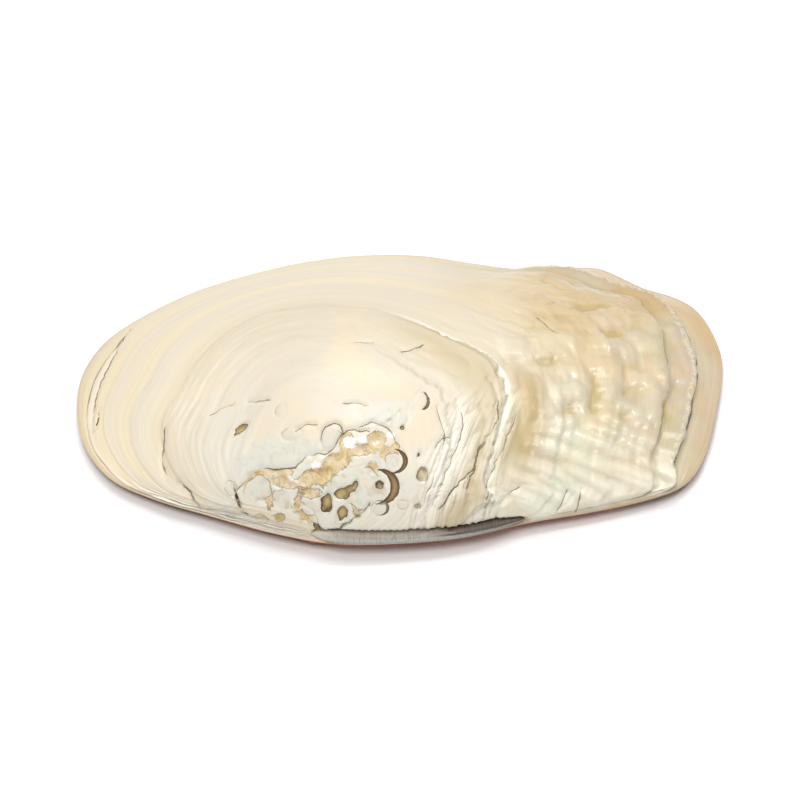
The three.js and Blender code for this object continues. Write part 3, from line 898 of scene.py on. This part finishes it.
ligament_mesh = bmesh.new()
bmesh.ops.create_uvsphere(
    ligament_mesh, u_segments=LIGAMENT_AROUND, v_segments=LIGAMENT_LEVELS, radius=1)
ball = np.array([vertex.co for vertex in ligament_mesh.verts])
level = np.arccos(np.clip(ball[:, 2], -1, 1)) / math.pi
girth = np.arctan2(ball[:, 1], ball[:, 0])
station = mixed(LIGAMENT_START, LIGAMENT_END, level)
tall, fullness = ligament_size(level)
across = np.sign(np.sin(girth)) * np.abs(np.sin(girth)) ** SQUARENESS
upright = -np.sign(np.cos(girth)) * np.abs(np.cos(girth)) ** SQUARENESS
middle = margin_at(station)
ahead = heading_at(station)
fibres = grain(middle[:, 0] / 0.22, upright * 0.8 + 3, 81) + grain(middle[:, 0] / 0.55, upright, 82)
layers = grain(upright * 9 + 12, middle[:, 0] / 9 + 20, 83)
torn = np.maximum(0, grain(middle[:, 0] / 0.9 + 9, upright * 2 + 4, 84)) * smooth(upright, 0.3, 1)
thick = LIGAMENT_DEPTH / 2 * fullness * (0.925 + 0.018 * fibres + 0.02 * layers)
high = tall / 2 * fullness * (0.985 - 0.12 * torn)
inset = LIGAMENT_DEPTH / 2 - LIGAMENT_PROUD + across * thick
height = underside(middle[:, 1]) + LIGAMENT_SEAT + tall / 2 + upright * high
ligament_mm = np.stack((
    middle[:, 0] - ahead[:, 1] * inset, middle[:, 1] + ahead[:, 0] * inset, height), axis=-1)
for vertex, place in zip(ligament_mesh.verts, in_frame(ligament_mm)):
    vertex.co = Vector(place)
for face in ligament_mesh.faces:
    face.smooth = True
bmesh.ops.recalc_face_normals(ligament_mesh, faces=ligament_mesh.faces)
print("ligament", len(ligament_mesh.faces), "faces")
ligament = finished("dried_ligament", ligament_mesh, "root", "ligament", "ligament")


# %% [markdown]
# The colours of a shell follow its growth, not its place in space, so the mesh carries what the
# materials need to know as numbers on its vertices: how old the shell is there, which end it
# belongs to, how worn it is, and whether it faces in or out.

# %% Numbers on the vertices for the colours
def remember(piece, name, values):
    layer = piece.data.attributes.new(name, "FLOAT", "POINT")
    layer.data.foreach_set("value", values.astype(np.float32))


valve_x, valve_y = growth_point(valve_stage, valve_turn).T
valve_ahead = reached_at(valve_stage, valve_turn) - valve_stage
valve_surface = surface_at(valve_x, valve_y)
valve_outside = (valve_ring <= OUTER_RINGS).astype(float)

remember(ligament, "upright", upright)
remember(ligament, "along", level)
remember(valve, "growth", age_at(valve_stage, valve_turn))
remember(valve, "front", regions(valve_turn)[0])
remember(valve, "rear", smooth(valve_x, -8, 10))
remember(valve, "fan", bundle_at(valve_x, valve_y)[0])
# how high the dome is there, for the painted shade on its top
remember(valve, "high", smooth(valve_points_mm[:, 2], 18, 31) * valve_outside)
remember(valve, "inland", 1 - smooth(valve_ahead, 0.02, 0.06) * smooth(valve_x, 0, 20))
behind_step = smooth(-valve_y, 5, 17) * (1 - smooth(-valve_y, 27, 37))
remember(valve, "behind_step", behind_step * smooth(valve_x, 14, 22))
remember(valve, "low_hind", smooth(-valve_y, 16, 30) * smooth(valve_x, 14, 30))
remember(valve, "hind", smooth(valve_x, -6, 50) * smooth(valve_stage, 0.4, 0.6))
on_rim = smooth(valve_x, -22, -14) * (1 - smooth(valve_x, 22, 32)) * smooth(-valve_y, 36, 38)
below = 1 - smooth(valve_points_mm[:, 2] - underside(valve_y), 1.2, 2.2)
remember(valve, "rim", on_rim * below * valve_outside)
print("growth runs from", valve_stage.min(), "to", valve_stage.max())

# %% [markdown]
# The same for the marks, furrows, cracks, folds and flakes. Each was worked out once for the
# relief, and is worked out again here at the plain surface. They belong to the outside alone.

# %% Numbers for the marks of the outside
remember(valve, "furrow", furrows(valve_x, valve_y) * valve_outside)
remember(valve, "bundle", bundle_at(valve_x, valve_y)[1] * valve_outside)
off_the_outside = 9 * (1 - valve_outside)
marks_by_name = {
    "ochre": OCHRES, "white": PAINTED_GLINTS, "pearly": PEARLY, "worn": WORN, "hole": HOLES,
    "ring": OUTLINES,
}
for name, marks in marks_by_name.items():
    remember(valve, name, out_of(valve_surface, marks) + off_the_outside)
remember(valve, "moon", out_of_half_moons(valve_surface) + off_the_outside)
crack_side, crack_close = beside_cracks(valve_x, valve_y)
remember(valve, "crack", crack_side)
remember(valve, "near_crack", crack_close * valve_outside)
remember(valve, "flaky", smooth(-valve_y, 24, 38) * smooth(-valve_x, 12, 28) * valve_outside)
remember(valve, "fold", fold_relief(valve_x, valve_y, valve_stage, valve_turn) * valve_outside)
remember(valve, "inside", smooth(valve_ring, OUTER_RINGS, OUTER_RINGS + 3.0))
remember(valve, "under", smooth(valve_ring - OUTER_RINGS - BEVEL_RINGS, 0, LAND_RINGS))
remember(valve, "depth_in", smooth(valve_ring, OUTER_RINGS + BEVEL_RINGS + LAND_RINGS, ALL_RINGS))
print("the valve carries", len(valve.data.attributes), "layers of numbers")


# %% [markdown]
# Shader sums read best as sums. A Signal holds one output of a node, and adding or multiplying
# signals adds Math nodes. The same nodes could be wired by hand, but a sum is easier to mend.

# %% Signals
class Signal:
    """One output of a shader node, which can be used in a sum."""

    def __init__(self, finish, socket):
        self.finish = finish
        self.socket = socket

    def math(self, operation, *values):
        sockets = dict(enumerate(values))
        return self.finish.node("Math", {"operation": operation}, sockets)

    def __add__(self, other):
        return self.math("ADD", self, other)

    def __radd__(self, other):
        return self.math("ADD", other, self)

    def __sub__(self, other):
        return self.math("SUBTRACT", self, other)

    def __rsub__(self, other):
        return self.math("SUBTRACT", other, self)

    def __mul__(self, other):
        return self.math("MULTIPLY", self, other)

    def __rmul__(self, other):
        return self.math("MULTIPLY", other, self)

    def between(self, low, high):
        """0 below low, 1 above high, smooth between them."""
        settings = {"interpolation_type": "SMOOTHSTEP"}
        return self.finish.node("MapRange", settings, {0: self, 1: low, 2: high, 3: 0.0, 4: 1.0})

    def line_at(self, place, half_width):
        """1 on a line where the signal has this value, 0 beyond the half width."""
        off = self.math("ABSOLUTE", self - place)
        return 1.0 - off.between(0.0, half_width)


# %% [markdown]
# A new colour ramp has two stops. This adds the others, and sets the place and colour of each.

# %% Stops of a ramp
def set_stops(ramp, stops):
    while len(ramp.elements) < len(stops):
        ramp.elements.new(1.0)
    for element, (position, colour) in zip(ramp.elements, stops):
        element.position = position
        element.color = colour


# %% [markdown]
# A Finish is a material. It makes every other node with one method: first the settings, then the
# values or signals of its sockets. A few more methods name the nodes that are used often.

# %% Finishes
class Finish:
    """A material, and the one method that makes its nodes."""

    def __init__(self, name):
        self.material = bpy.data.materials.new(name)
        self.material.use_nodes = True
        self.tree = self.material.node_tree
        self.tree.nodes.clear()

    def node(self, kind, settings, sockets, output=0):
        node = self.tree.nodes.new("ShaderNode" + kind)
        for name, value in settings.items():
            if name == "stops":
                set_stops(node.color_ramp, value)
            else:
                setattr(node, name, value)
        for name, value in sockets.items():
            if isinstance(value, Signal):
                self.tree.links.new(value.socket, node.inputs[name])
            else:
                node.inputs[name].default_value = value
        return Signal(self, node.outputs[output])

    def number(self, name):
        """A number that the mesh carries on its vertices."""
        return self.node("Attribute", {"attribute_name": name}, {}, "Fac")

    def place(self):
        return self.node("TexCoord", {}, {}, "Object")

    def cloud(self, scale, detail=2.0, roughness=0.5, at=None, distortion=0.0):
        sockets = {"Vector": at or self.place(), "Scale": scale, "Detail": detail,
                   "Roughness": roughness, "Distortion": distortion}
        return self.node("TexNoise", {}, sockets, 0)

    def ramp(self, signal, *stops):
        return self.node("ValToRGB", {"stops": stops}, {0: signal}, 0)

    def mix(self, share, one, other):
        return self.node("Mix", {"data_type": "RGBA"}, {0: share, 6: one, 7: other}, 2)

    def surface(self, **sockets):
        named = {name.replace("_", " "): value for name, value in sockets.items()}
        shader = self.node("BsdfPrincipled", {}, named)
        output = self.tree.nodes.new("ShaderNodeOutputMaterial")
        self.tree.links.new(shader.socket, output.inputs["Surface"])


# %% [markdown]
# Colours are written as the eye sees them on a screen, and turned into the light that shaders mix.

# %% Paint
def paint(red, green, blue):
    """Linear light from a colour as it is seen, with channels from 0 to 255."""
    seen = (channel / 255 for channel in (red, green, blue))
    return tuple(c / 12.92 if c <= 0.04045 else ((c + 0.055) / 1.055) ** 2.4 for c in seen) + (1.0,)


print("paint 128 is", round(paint(128, 128, 128)[0], 3), "in linear light")


# %% [markdown]
# Mother of pearl is thin sheets of aragonite, so it is pale, glossy and faintly coloured by the
# light between the sheets. Here the ground-down growth bands are cream, straw and lilac-grey,
# and the hind slope is honey-tan. A colour ramp over the growth gives the bands, bent a little by
# a slow cloud so that none is even.

# %% The growth bands
pearl = Finish("mother_of_pearl")
growth = pearl.number("growth")
hind = pearl.number("hind")


def count_nodes(title):
    print("the finish up to the", title, "has", len(pearl.tree.nodes), "nodes")


wander = pearl.cloud(28.0, 2.0) - 0.5
age = growth + wander * 0.035
belly_bands = pearl.ramp(
    age,
    (0.0, paint(232, 226, 212)), (0.20, paint(236, 229, 213)), (0.34, paint(238, 226, 203)),
    (0.44, paint(234, 219, 193)), (0.50, paint(243, 230, 204)), (0.56, paint(238, 225, 205)),
    (0.62, paint(247, 231, 197)), (0.69, paint(240, 226, 205)), (0.76, paint(247, 230, 196)),
    (0.83, paint(240, 226, 204)), (0.88, paint(245, 227, 190)), (0.94, paint(238, 220, 190)),
    (1.0, paint(224, 200, 162)),
)
hind_bands = pearl.ramp(
    age,
    (0.38, paint(233, 222, 196)), (0.50, paint(222, 206, 172)), (0.60, paint(228, 209, 170)),
    (0.72, paint(223, 200, 160)), (0.83, paint(222, 197, 155)), (0.865, paint(206, 178, 132)),
    (0.90, paint(200, 174, 132)), (0.92, paint(214, 192, 156)), (0.94, paint(224, 198, 156)),
    (1.0, paint(220, 188, 142)),
)
bands = pearl.mix(hind, belly_bands, hind_bands)
count_nodes("bands")

# %% [markdown]
# Thin streaks of lilac, straw and grey run along the growth lines. They are clouds whose place is
# counted mostly in growth, so they are drawn out along it.

# %% The streaks
def streaks(finish, lines, drift, seed):
    """Noise drawn out along the growth lines: many lines over the growth, slow drift across."""
    apart = finish.node("SeparateXYZ", {}, {0: finish.place()}, 0)
    across = Signal(finish, apart.socket.node.outputs[1])
    at = finish.node("CombineXYZ", {}, {
        0: finish.number("growth") * lines, 1: apart * drift + seed, 2: across * drift})
    return finish.cloud(1.0, 3.0, 0.6, at)


broad_streaks = streaks(pearl, 34.0, 9.0, 3.0)
fine_streaks = streaks(pearl, 150.0, 22.0, 7.0)
grown_up = growth.between(0.25, 0.5)
lilac = broad_streaks.between(0.52, 0.68) * (1.0 - hind * 0.6) * grown_up
bands = pearl.mix(lilac * 0.24, bands, paint(214, 204, 200))
straw = broad_streaks.between(0.46, 0.3) * grown_up * 0.2
bands = pearl.mix(straw, bands, paint(247, 227, 178))
bands = pearl.mix(fine_streaks.between(0.55, 0.75) * grown_up * 0.22, bands, paint(205, 190, 166))
count_nodes("streaks")

# %% [markdown]
# Here and there the sheets of the pearl lie so that they colour the light: pale green, blue and
# pink patches, strongest low on the hind slope. They are painted as soft clouds, because a
# colour that followed the camera would slide over the shell.

# %% Patches of pearl colour
sheen_cloud = pearl.cloud(46.0, 3.0, 0.6, distortion=0.8)
sheen = pearl.ramp(
    sheen_cloud,
    (0.30, paint(236, 214, 206)), (0.42, paint(244, 236, 214)), (0.50, paint(206, 222, 204)),
    (0.58, paint(204, 216, 222)), (0.68, paint(240, 228, 210)),
)
sheen_spots = pearl.cloud(24.0, 2.0).between(0.48, 0.64)
bands = pearl.mix(sheen_spots * (0.1 + hind * 0.2), bands, sheen)
count_nodes("sheen")

# %% [markdown]
# Wear and dirt come on top. These clouds serve all of it: grit for the roughness, blotches and
# crumbs that make an outline ragged, and slow swells that bend it.

# %% Clouds for the wear
grit = pearl.cloud(420.0, 4.0, 0.65)
blotch = pearl.cloud(230.0, 4.0, 0.6, distortion=0.6)
crumbs = pearl.cloud(1100.0, 4.0, 0.7)
swell = pearl.cloud(150.0, 2.0, 0.5)
ragged = (blotch - 0.5) * 3.0 + (crumbs - 0.5) * 1.4
count_nodes("clouds")

# %% [markdown]
# The old shell round the beak is greyer than the rest, with thin arcs of growth ground into it,
# and clouds of pale tan. The top of the dome is painted darker, a painted shade, because it faces
# the light.

# %% The old shell
beak_grey = 1.0 - growth.between(0.16, 0.42)
skin = pearl.mix(beak_grey * 0.5, bands, paint(238, 234, 220))
apart = pearl.node("SeparateXYZ", {}, {0: pearl.place()}, 0)
depth_wise = Signal(pearl, apart.socket.node.outputs[1])
arcs_at = pearl.node("CombineXYZ", {}, {0: growth * 62.0, 1: apart * 70.0, 2: depth_wise * 70.0})
arcs = pearl.cloud(1.0, 3.0, 0.65, arcs_at)
young = (1.0 - growth.between(0.4, 0.5)) * growth.between(0.03, 0.1)
skin = pearl.mix(arcs.between(0.52, 0.66) * young * 0.5, skin, paint(216, 207, 184))
skin = pearl.mix(arcs.between(0.47, 0.36) * young * 0.6, skin, paint(252, 243, 222))
# painted shade: the top of the dome is darkened because it faces the light
skin = pearl.mix(pearl.number("high") * 0.7, skin, paint(226, 214, 192))
tan_cloud = pearl.cloud(58.0, 3.0, 0.6)
skin = pearl.mix(tan_cloud.between(0.5, 0.66) * young * 0.5, skin, paint(243, 224, 192))
count_nodes("old shell")

# %% [markdown]
# Where the layers are eaten through, the pearl is mottled grey, and in the middle of that lies
# the ochre stain, with its veins and its brown edge. Both patches are distances with a ragged
# cloud added, so their outlines break up and the stain's edge is one more line on the same sum.

# %% The worn patch and its stain
worn = 1.0 - (pearl.number("worn") + (swell - 0.5) * 6.0).between(-2.6, 0.6)
worn_tones = pearl.ramp(
    pearl.cloud(210.0, 4.0, 0.6, distortion=0.8),
    (0.32, paint(216, 206, 180)), (0.42, paint(232, 228, 212)), (0.52, paint(226, 231, 222)),
    (0.62, paint(216, 208, 192)), (0.72, paint(240, 236, 226)),
)
skin = pearl.mix(worn * 0.65, skin, worn_tones)
ochre_out = pearl.number("ochre") + ragged
ochre = 1.0 - ochre_out.between(-0.2, 0.1)
ochre_tones = pearl.ramp(
    pearl.cloud(300.0, 4.0, 0.65, distortion=0.8),
    (0.32, paint(180, 148, 88)), (0.42, paint(216, 188, 130)), (0.50, paint(234, 212, 166)),
    (0.58, paint(226, 206, 178)), (0.70, paint(202, 170, 108)),
)
skin = pearl.mix(ochre * 0.92, skin, ochre_tones)
veins = ochre * pearl.cloud(300.0, 3.0, 0.6, distortion=1.0).line_at(0.5, 0.022)
skin = pearl.mix(veins * 0.35, skin, paint(150, 120, 66))
stain_edge = ochre_out.line_at(-0.02, 0.22) * swell.between(0.36, 0.56)
skin = pearl.mix(stain_edge * 0.8, skin, paint(140, 114, 58))
count_nodes("stain")

# %% [markdown]
# Islands of clean pearl stand in the stain, with a brown shore where they meet it, and a few
# spots are painted white as painted highlights, the glints of the rugged patch.

# %% The islands of pearl
island = pearl.ramp(
    pearl.cloud(190.0, 3.0, 0.6),
    (0.34, paint(212, 200, 180)), (0.43, paint(236, 224, 206)), (0.50, paint(230, 229, 213)),
    (0.57, paint(216, 216, 200)), (0.66, paint(232, 216, 204)),
)
pearly_out = pearl.number("pearly") + (swell - 0.5) * 7.0 + ragged * 0.3 + 0.3
skin = pearl.mix((1.0 - pearly_out.between(-0.2, 0.15)) * 0.9, skin, island)
shore = pearly_out.line_at(0.0, 0.24) * (1.0 - ochre_out.between(0.2, 0.9))
skin = pearl.mix(shore * 0.75, skin, paint(154, 126, 72))
# painted highlights: white glint spots on the worn patch
glint_out = pearl.number("white") + ragged * 1.1 + 0.2
skin = pearl.mix(1.0 - glint_out.between(-0.35, 0.05), skin, paint(255, 254, 250))
count_nodes("islands")

# %% [markdown]
# The holes and half-moons have a dark rim and a floor that goes from brown to straw, and a pale
# halo where the edge of a hole is worn round.

# %% The holes and half-moons
hole_out = pearl.number("hole") + (pearl.cloud(380.0, 2.0, 0.6) - 0.5) * 1.6 + 0.08
hole_tones = pearl.ramp(
    (0.0 - hole_out) + blotch * 1.2 - 0.6,
    (0.0, paint(112, 90, 60)), (0.12, paint(150, 134, 100)), (0.4, paint(172, 150, 106)),
    (0.8, paint(208, 180, 124)),
)
skin = pearl.mix(1.0 - hole_out.between(0.0, 0.12), skin, hole_tones)
skin = pearl.mix(hole_out.line_at(0.0, 0.13) * 0.8, skin, paint(82, 62, 38))
skin = pearl.mix(hole_out.line_at(0.34, 0.22) * 0.35, skin, paint(206, 192, 158))
moon_out = pearl.number("moon") + ragged * 0.2
moon_tones = pearl.ramp(
    (0.0 - moon_out) + blotch * 0.8 - 0.4,
    (0.0, paint(100, 76, 50)), (0.3, paint(146, 118, 82)), (0.8, paint(176, 150, 112)),
)
skin = pearl.mix(1.0 - moon_out.between(0.0, 0.12), skin, moon_tones)
skin = pearl.mix(moon_out.line_at(0.02, 0.14) * 0.7, skin, paint(74, 56, 34))
count_nodes("holes")

# %% [markdown]
# Faint rings show where a hole has not yet broken through. A ring is where the distance out of
# its mark passes through zero, so it stays thin and sharp however far apart the vertices are.

# %% The rings
broken = pearl.cloud(150.0, 3.0, 0.6)
ring_out = pearl.number("ring") + ragged * 0.3
skin = pearl.mix((1.0 - ring_out.between(-0.3, 0.1)) * 0.3, skin, paint(214, 210, 200))
ring_line = ring_out.line_at(0.0, 0.17) * broken.between(0.47, 0.58)
skin = pearl.mix(ring_line * 0.55, skin, paint(140, 122, 96))
count_nodes("rings")

# %% [markdown]
# On the hind slope the low ground keeps more of the tan, and the crests get a painted highlight.
# Low down, near the hinge, the folds are pale, with painted highlights on their crests, painted
# shade in the troughs and a painted green sheen.

# %% The folds
fold = pearl.number("fold")
low_ground = hind * (1.0 - fold.between(-0.1, 0.4)) * pearl.cloud(60.0).between(0.35, 0.6)
low_hind = pearl.number("low_hind")
skin = pearl.mix(low_ground * (0.42 - low_hind * 0.2), skin, paint(208, 180, 132))
skin = pearl.mix(hind * fold.between(-0.12, -0.5) * 0.6, skin, paint(196, 172, 112))
skin = pearl.mix(low_hind * 0.35, skin, paint(246, 239, 216))
# painted highlight on the crests of the folds
skin = pearl.mix(hind * fold.between(0.42, 0.9) * 0.22, skin, paint(252, 238, 206))
# painted highlight along the crests low down, and painted shade in the troughs below
crest = low_hind * fold.between(0.22, 0.5)
trough_shade = low_hind * fold.between(0.16, -0.06)
skin = pearl.mix(crest * 0.4, skin, paint(252, 244, 218))
skin = pearl.mix(trough_shade * 0.6, skin, paint(194, 178, 138))
# painted sheen: a green cast low on the hind slope
green_sheen = low_hind * pearl.cloud(70.0, 2.0).between(0.44, 0.62)
skin = pearl.mix(green_sheen * 0.5, skin, paint(214, 226, 206))
count_nodes("folds")

# %% [markdown]
# The furrows of the fan are olive at the bottom, and the threads between them go from white to
# drab. Behind the fan runs the edge of the young shell: a painted highlight along its step, a thin
# line of painted shade inside it, a darker band further in, and painted shade in the hollow behind.

# %% The fan and the young shell's edge
furrow = pearl.number("furrow").between(0.35, 0.9)
skin = pearl.mix(furrow * 0.6, skin, paint(158, 144, 100))
fan_at = pearl.node("CombineXYZ", {}, {0: pearl.number("fan") * 42.0, 1: growth * 9.0, 2: 5.0})
fan_lines = pearl.cloud(1.0, 3.0, 0.6, fan_at)
bundle = pearl.number("bundle")
skin = pearl.mix(bundle * 0.5, skin, paint(254, 250, 236))
skin = pearl.mix(fan_lines.between(0.54, 0.64) * bundle * 0.5, skin, paint(176, 162, 120))
skin = pearl.mix(fan_lines.between(0.46, 0.38) * bundle * 0.6, skin, paint(254, 250, 238))
young_edge = growth + wander * 0.02
rear = pearl.number("rear") * (1.0 - low_hind)
skin = pearl.mix(young_edge.line_at(0.40, 0.07) * rear * 0.8, skin, paint(206, 188, 150))
# painted shade in the groove behind the step of the young shell
hollow_shade = young_edge.line_at(0.51, 0.06) * pearl.number("behind_step")
skin = pearl.mix(hollow_shade * 0.85, skin, paint(190, 164, 112))
# painted highlight along the crest of the step
skin = pearl.mix(young_edge.line_at(0.458, 0.01) * rear * 0.7, skin, paint(255, 252, 242))
# a thin line of painted shade just inside the step
skin = pearl.mix(young_edge.line_at(0.436, 0.007) * rear * 0.5, skin, paint(176, 160, 118))
count_nodes("fan")

# %% [markdown]
# Under the old edges the layers have parted in dark broken cracks, with a pale edge above one of
# them. The cracks with paths of their own are drawn in the same colour, all at once.

# %% The cracks
gaps = broken.between(0.4, 0.46)
front = pearl.number("front").between(0.6, 1.0)
front_crack = growth.line_at(0.853, 0.013) * front * broken.between(0.36, 0.42)
inland = pearl.number("inland")
skin = pearl.mix((1.0 - inland) * low_hind * 0.38, skin, paint(255, 250, 234))
far_hind = hind.between(0.45, 0.7) * inland
hind_crack = growth.line_at(0.92, 0.009) * far_hind * broken.between(0.36, 0.42)
hind_line = growth.line_at(0.852, 0.004) * hind.between(0.5, 0.8) * (1.0 - gaps) * inland
path_line = (pearl.number("crack") + (crumbs - 0.5) * 2.0).line_at(0.0, 1.1)
path_crack = path_line * pearl.number("near_crack") * (0.25 + broken.between(0.34, 0.56) * 0.75)
cracks = front_crack + hind_crack + hind_line * 0.6 + path_crack
pale_place = hind.between(0.5, 0.75) * crumbs.between(0.42, 0.56) * inland
pale_edge = growth.line_at(0.904, 0.012) * pale_place
skin = pearl.mix(pale_edge * 0.6, skin, paint(246, 238, 218))
amber = growth.line_at(0.957, 0.005) * pearl.number("front").between(0.3, 0.7) * (1.0 - gaps)
skin = pearl.mix(amber * 0.8, skin, paint(236, 200, 118))
skin = pearl.mix(cracks.between(0.05, 0.9) * (0.45 + swell * 0.7), skin, paint(98, 80, 54))
count_nodes("cracks")

# %% [markdown]
# The flaky front of the hinge edge is chalky, with grey between its layers, and the rim below
# the beak is a plain pinkish cream.

# %% The flaky edge and the rim
flaky_place = pearl.number("flaky") * growth.between(0.5, 0.8)
skin = pearl.mix(flaky_place * 0.75, skin, paint(250, 244, 232))
flaky = flaky_place * fine_streaks.between(0.5, 0.62)
skin = pearl.mix(flaky * 0.6, skin, paint(158, 146, 132))
skin = pearl.mix(pearl.number("rim") * 0.8, skin, paint(238, 224, 214))
count_nodes("edge")

# %% [markdown]
# The inside was never ground. It is whiter and more silvery, with painted rose and green sheen,
# turns to salmon towards the edge and is brown at the lip. The salmon edge and the brown lip are
# partly the shell's colour and partly painted shade, to darken and warm the shadow under the edge.

# %% The inside
deep = pearl.number("depth_in")
# the rose, green and blue of the inside are painted sheen
inner_tones = pearl.ramp(
    pearl.cloud(34.0, 3.0, 0.6, distortion=1.2),
    (0.30, paint(240, 216, 208)), (0.42, paint(244, 240, 232)), (0.50, paint(222, 236, 226)),
    (0.58, paint(222, 230, 240)), (0.70, paint(244, 226, 216)),
)
# partly the shell's colour and partly painted shade: the brown lip darkens the shadow under the
# edge
salmon_lip_and_shade = pearl.mix(pearl.number("under"), paint(160, 92, 62), paint(226, 178, 146))
within = (deep + (sheen_cloud - 0.5) * 0.1).between(0.0, 0.12)
inner = pearl.mix(within, salmon_lip_and_shade, inner_tones)
skin = pearl.mix(pearl.number("inside"), skin, inner)
count_nodes("inside")

# %% [markdown]
# The polish is duller in the stain and glossier on the hind slope, which also gets a thin clear
# coat. Fine bumps follow the streaks, grit, fan and cracks. A little light goes into the pearl
# and comes out again.

# %% The whole finish
polish = 0.38 + fine_streaks * 0.16 + ochre * 0.1 - hind * 0.18
stripes = (fine_streaks * 0.5 + broad_streaks * 0.3) * grown_up
bumps = stripes + grit * ochre * 0.7 + grit * 0.06 - fan_lines * bundle * 0.5
normal = pearl.node("Bump", {}, {"Strength": 0.35, "Distance": 0.0004, "Height": bumps - cracks})
pearl.surface(
    Base_Color=skin, Roughness=polish, Normal=normal, IOR=1.45, Coat_Weight=0.05 + hind * 0.2,
    Coat_Roughness=0.14, Subsurface_Weight=0.12, Subsurface_Scale=0.004,
)
valve.data.materials.append(pearl.material)
count_nodes("last")

# %% [markdown]
# The ligament is grey, streaked across by its fibres and along by its layers, browner and darker
# towards its hind end, with a pinkish pale rim below. Painted shade darkens the upper part of its
# hind half, under the edge of the valve.

# %% The dried ligament
horn = Finish("dried_ligament")
upright_share = horn.number("upright")
apart = horn.node("SeparateXYZ", {}, {0: horn.place()}, 0)
fibre_at = horn.node("CombineXYZ", {}, {0: apart * 2600.0, 1: upright_share * 0.7, 2: 3.0})
fibre_streaks = horn.cloud(1.0, 2.0, 0.6, fibre_at)
layer_at = horn.node("CombineXYZ", {}, {0: apart * 60.0, 1: upright_share * 7.0, 2: 8.0})
layer_streaks = horn.cloud(1.0, 3.0, 0.6, layer_at)
horn_tones = horn.ramp(
    upright_share * 0.5 + 0.5 + (layer_streaks - 0.5) * 0.25,
    (0.0, paint(240, 222, 212)), (0.10, paint(206, 196, 186)), (0.28, paint(176, 174, 166)),
    (0.62, paint(196, 194, 186)), (0.85, paint(180, 174, 162)), (1.0, paint(148, 136, 120)),
)
to_hind = horn.number("along").between(0.45, 1.0)
horn_tones = horn.mix(to_hind * 0.55, horn_tones, paint(112, 102, 92))
# painted shade on the upper part of the hind half, under the overhanging edge of the valve
under_edge_shade = to_hind.between(0.0, 0.3) * upright_share.between(0.3, 0.62)
horn_tones = horn.mix(under_edge_shade * 0.85, horn_tones, paint(66, 54, 44))
horn_tones = horn.mix(fibre_streaks.between(0.48, 0.62) * 0.4, horn_tones, paint(108, 104, 98))
chalky = 1.0 - horn.number("along").between(0.02, 0.16)
horn_tones = horn.mix(chalky * 0.75, horn_tones, paint(222, 212, 196))
horn_tones = horn.mix(layer_streaks.between(0.55, 0.66) * 0.35, horn_tones, paint(206, 202, 194))
horn_bump = horn.node("Bump", {}, {
    "Strength": 0.4, "Distance": 0.0002, "Height": fibre_streaks + layer_streaks})
horn.surface(Base_Color=horn_tones, Roughness=0.55, Normal=horn_bump, IOR=1.5)
ligament.data.materials.append(horn.material)


# %% [markdown]
# The floor is a plain white card, and belongs to the stage and not to the part.

# %% The floor
floor_shape = bmesh.new()
bmesh.ops.create_grid(floor_shape, x_segments=1, y_segments=1, size=3)
floor_data = bpy.data.meshes.new("floor")
floor_shape.to_mesh(floor_data)
floor_shape.free()
white = Finish("white_card")
white.surface(Base_Color=paint(252, 252, 252), Roughness=0.9)
floor_data.materials.append(white.material)
floor = bpy.data.objects.new("floor", floor_data)
bpy.context.scene.collection.objects.link(floor)
print(floor.name, [round(side) for side in floor.dimensions], "m")


# %% [markdown]
# Two large soft lights hang over the shell, one of them towards the hinge side, so nothing is in
# hard shade. A small lamp gives the glints on the folds.

# %% Lights
def area_light(name, place, aim, size, power):
    data = bpy.data.lights.new(name, "AREA")
    data.shape = "RECTANGLE"
    data.size, data.size_y = size
    data.energy = power
    light = bpy.data.objects.new(name, data)
    light.location = place
    light.rotation_euler = (Vector(aim) - Vector(place)).to_track_quat("-Z", "Y").to_euler()
    bpy.context.scene.collection.objects.link(light)
    print(name, power, "W")


area_light("top_softbox", (0.0, 0.18, 0.95), (0, 0, 0), (0.6, 0.45), 4.7)
area_light("front_softbox", (-0.12, -0.36, 0.88), (0, 0, 0.01), (0.5, 0.35), 4.9)
area_light("glint_lamp", (0.5, 0.15, 0.75), (0, 0, 0.01), (0.06, 0.06), 1.1)

world = bpy.data.worlds.new("studio")
world.use_nodes = True
world.node_tree.nodes["Background"].inputs["Color"].default_value = (1, 1, 1, 1)
world.node_tree.nodes["Background"].inputs["Strength"].default_value = 0.15
bpy.context.scene.world = world
bpy.context.scene.view_settings.view_transform = "Standard"

# %% [markdown]
# The camera stands as in the photograph: straight in front of the hinge and fifty degrees up,
# far away with a long lens.

# %% The camera
CAMERA_AIM = Vector(in_frame(np.array((-0.44, -3.78, 4.83))))
CAMERA_DISTANCE = 0.56
CAMERA_ELEVATION = math.radians(50)
camera_data = bpy.data.cameras.new("camera")
camera_data.lens = 108.4
camera_data.sensor_width = 36
camera = bpy.data.objects.new("camera", camera_data)
away = Vector((0, -math.cos(CAMERA_ELEVATION), math.sin(CAMERA_ELEVATION)))
camera.location = CAMERA_AIM + away * CAMERA_DISTANCE
camera.rotation_euler = (math.pi / 2 - CAMERA_ELEVATION, 0, 0)
bpy.context.scene.collection.objects.link(camera)
bpy.context.scene.camera = camera
print("camera", round(CAMERA_DISTANCE, 2), "m from", [round(c, 4) for c in CAMERA_AIM])
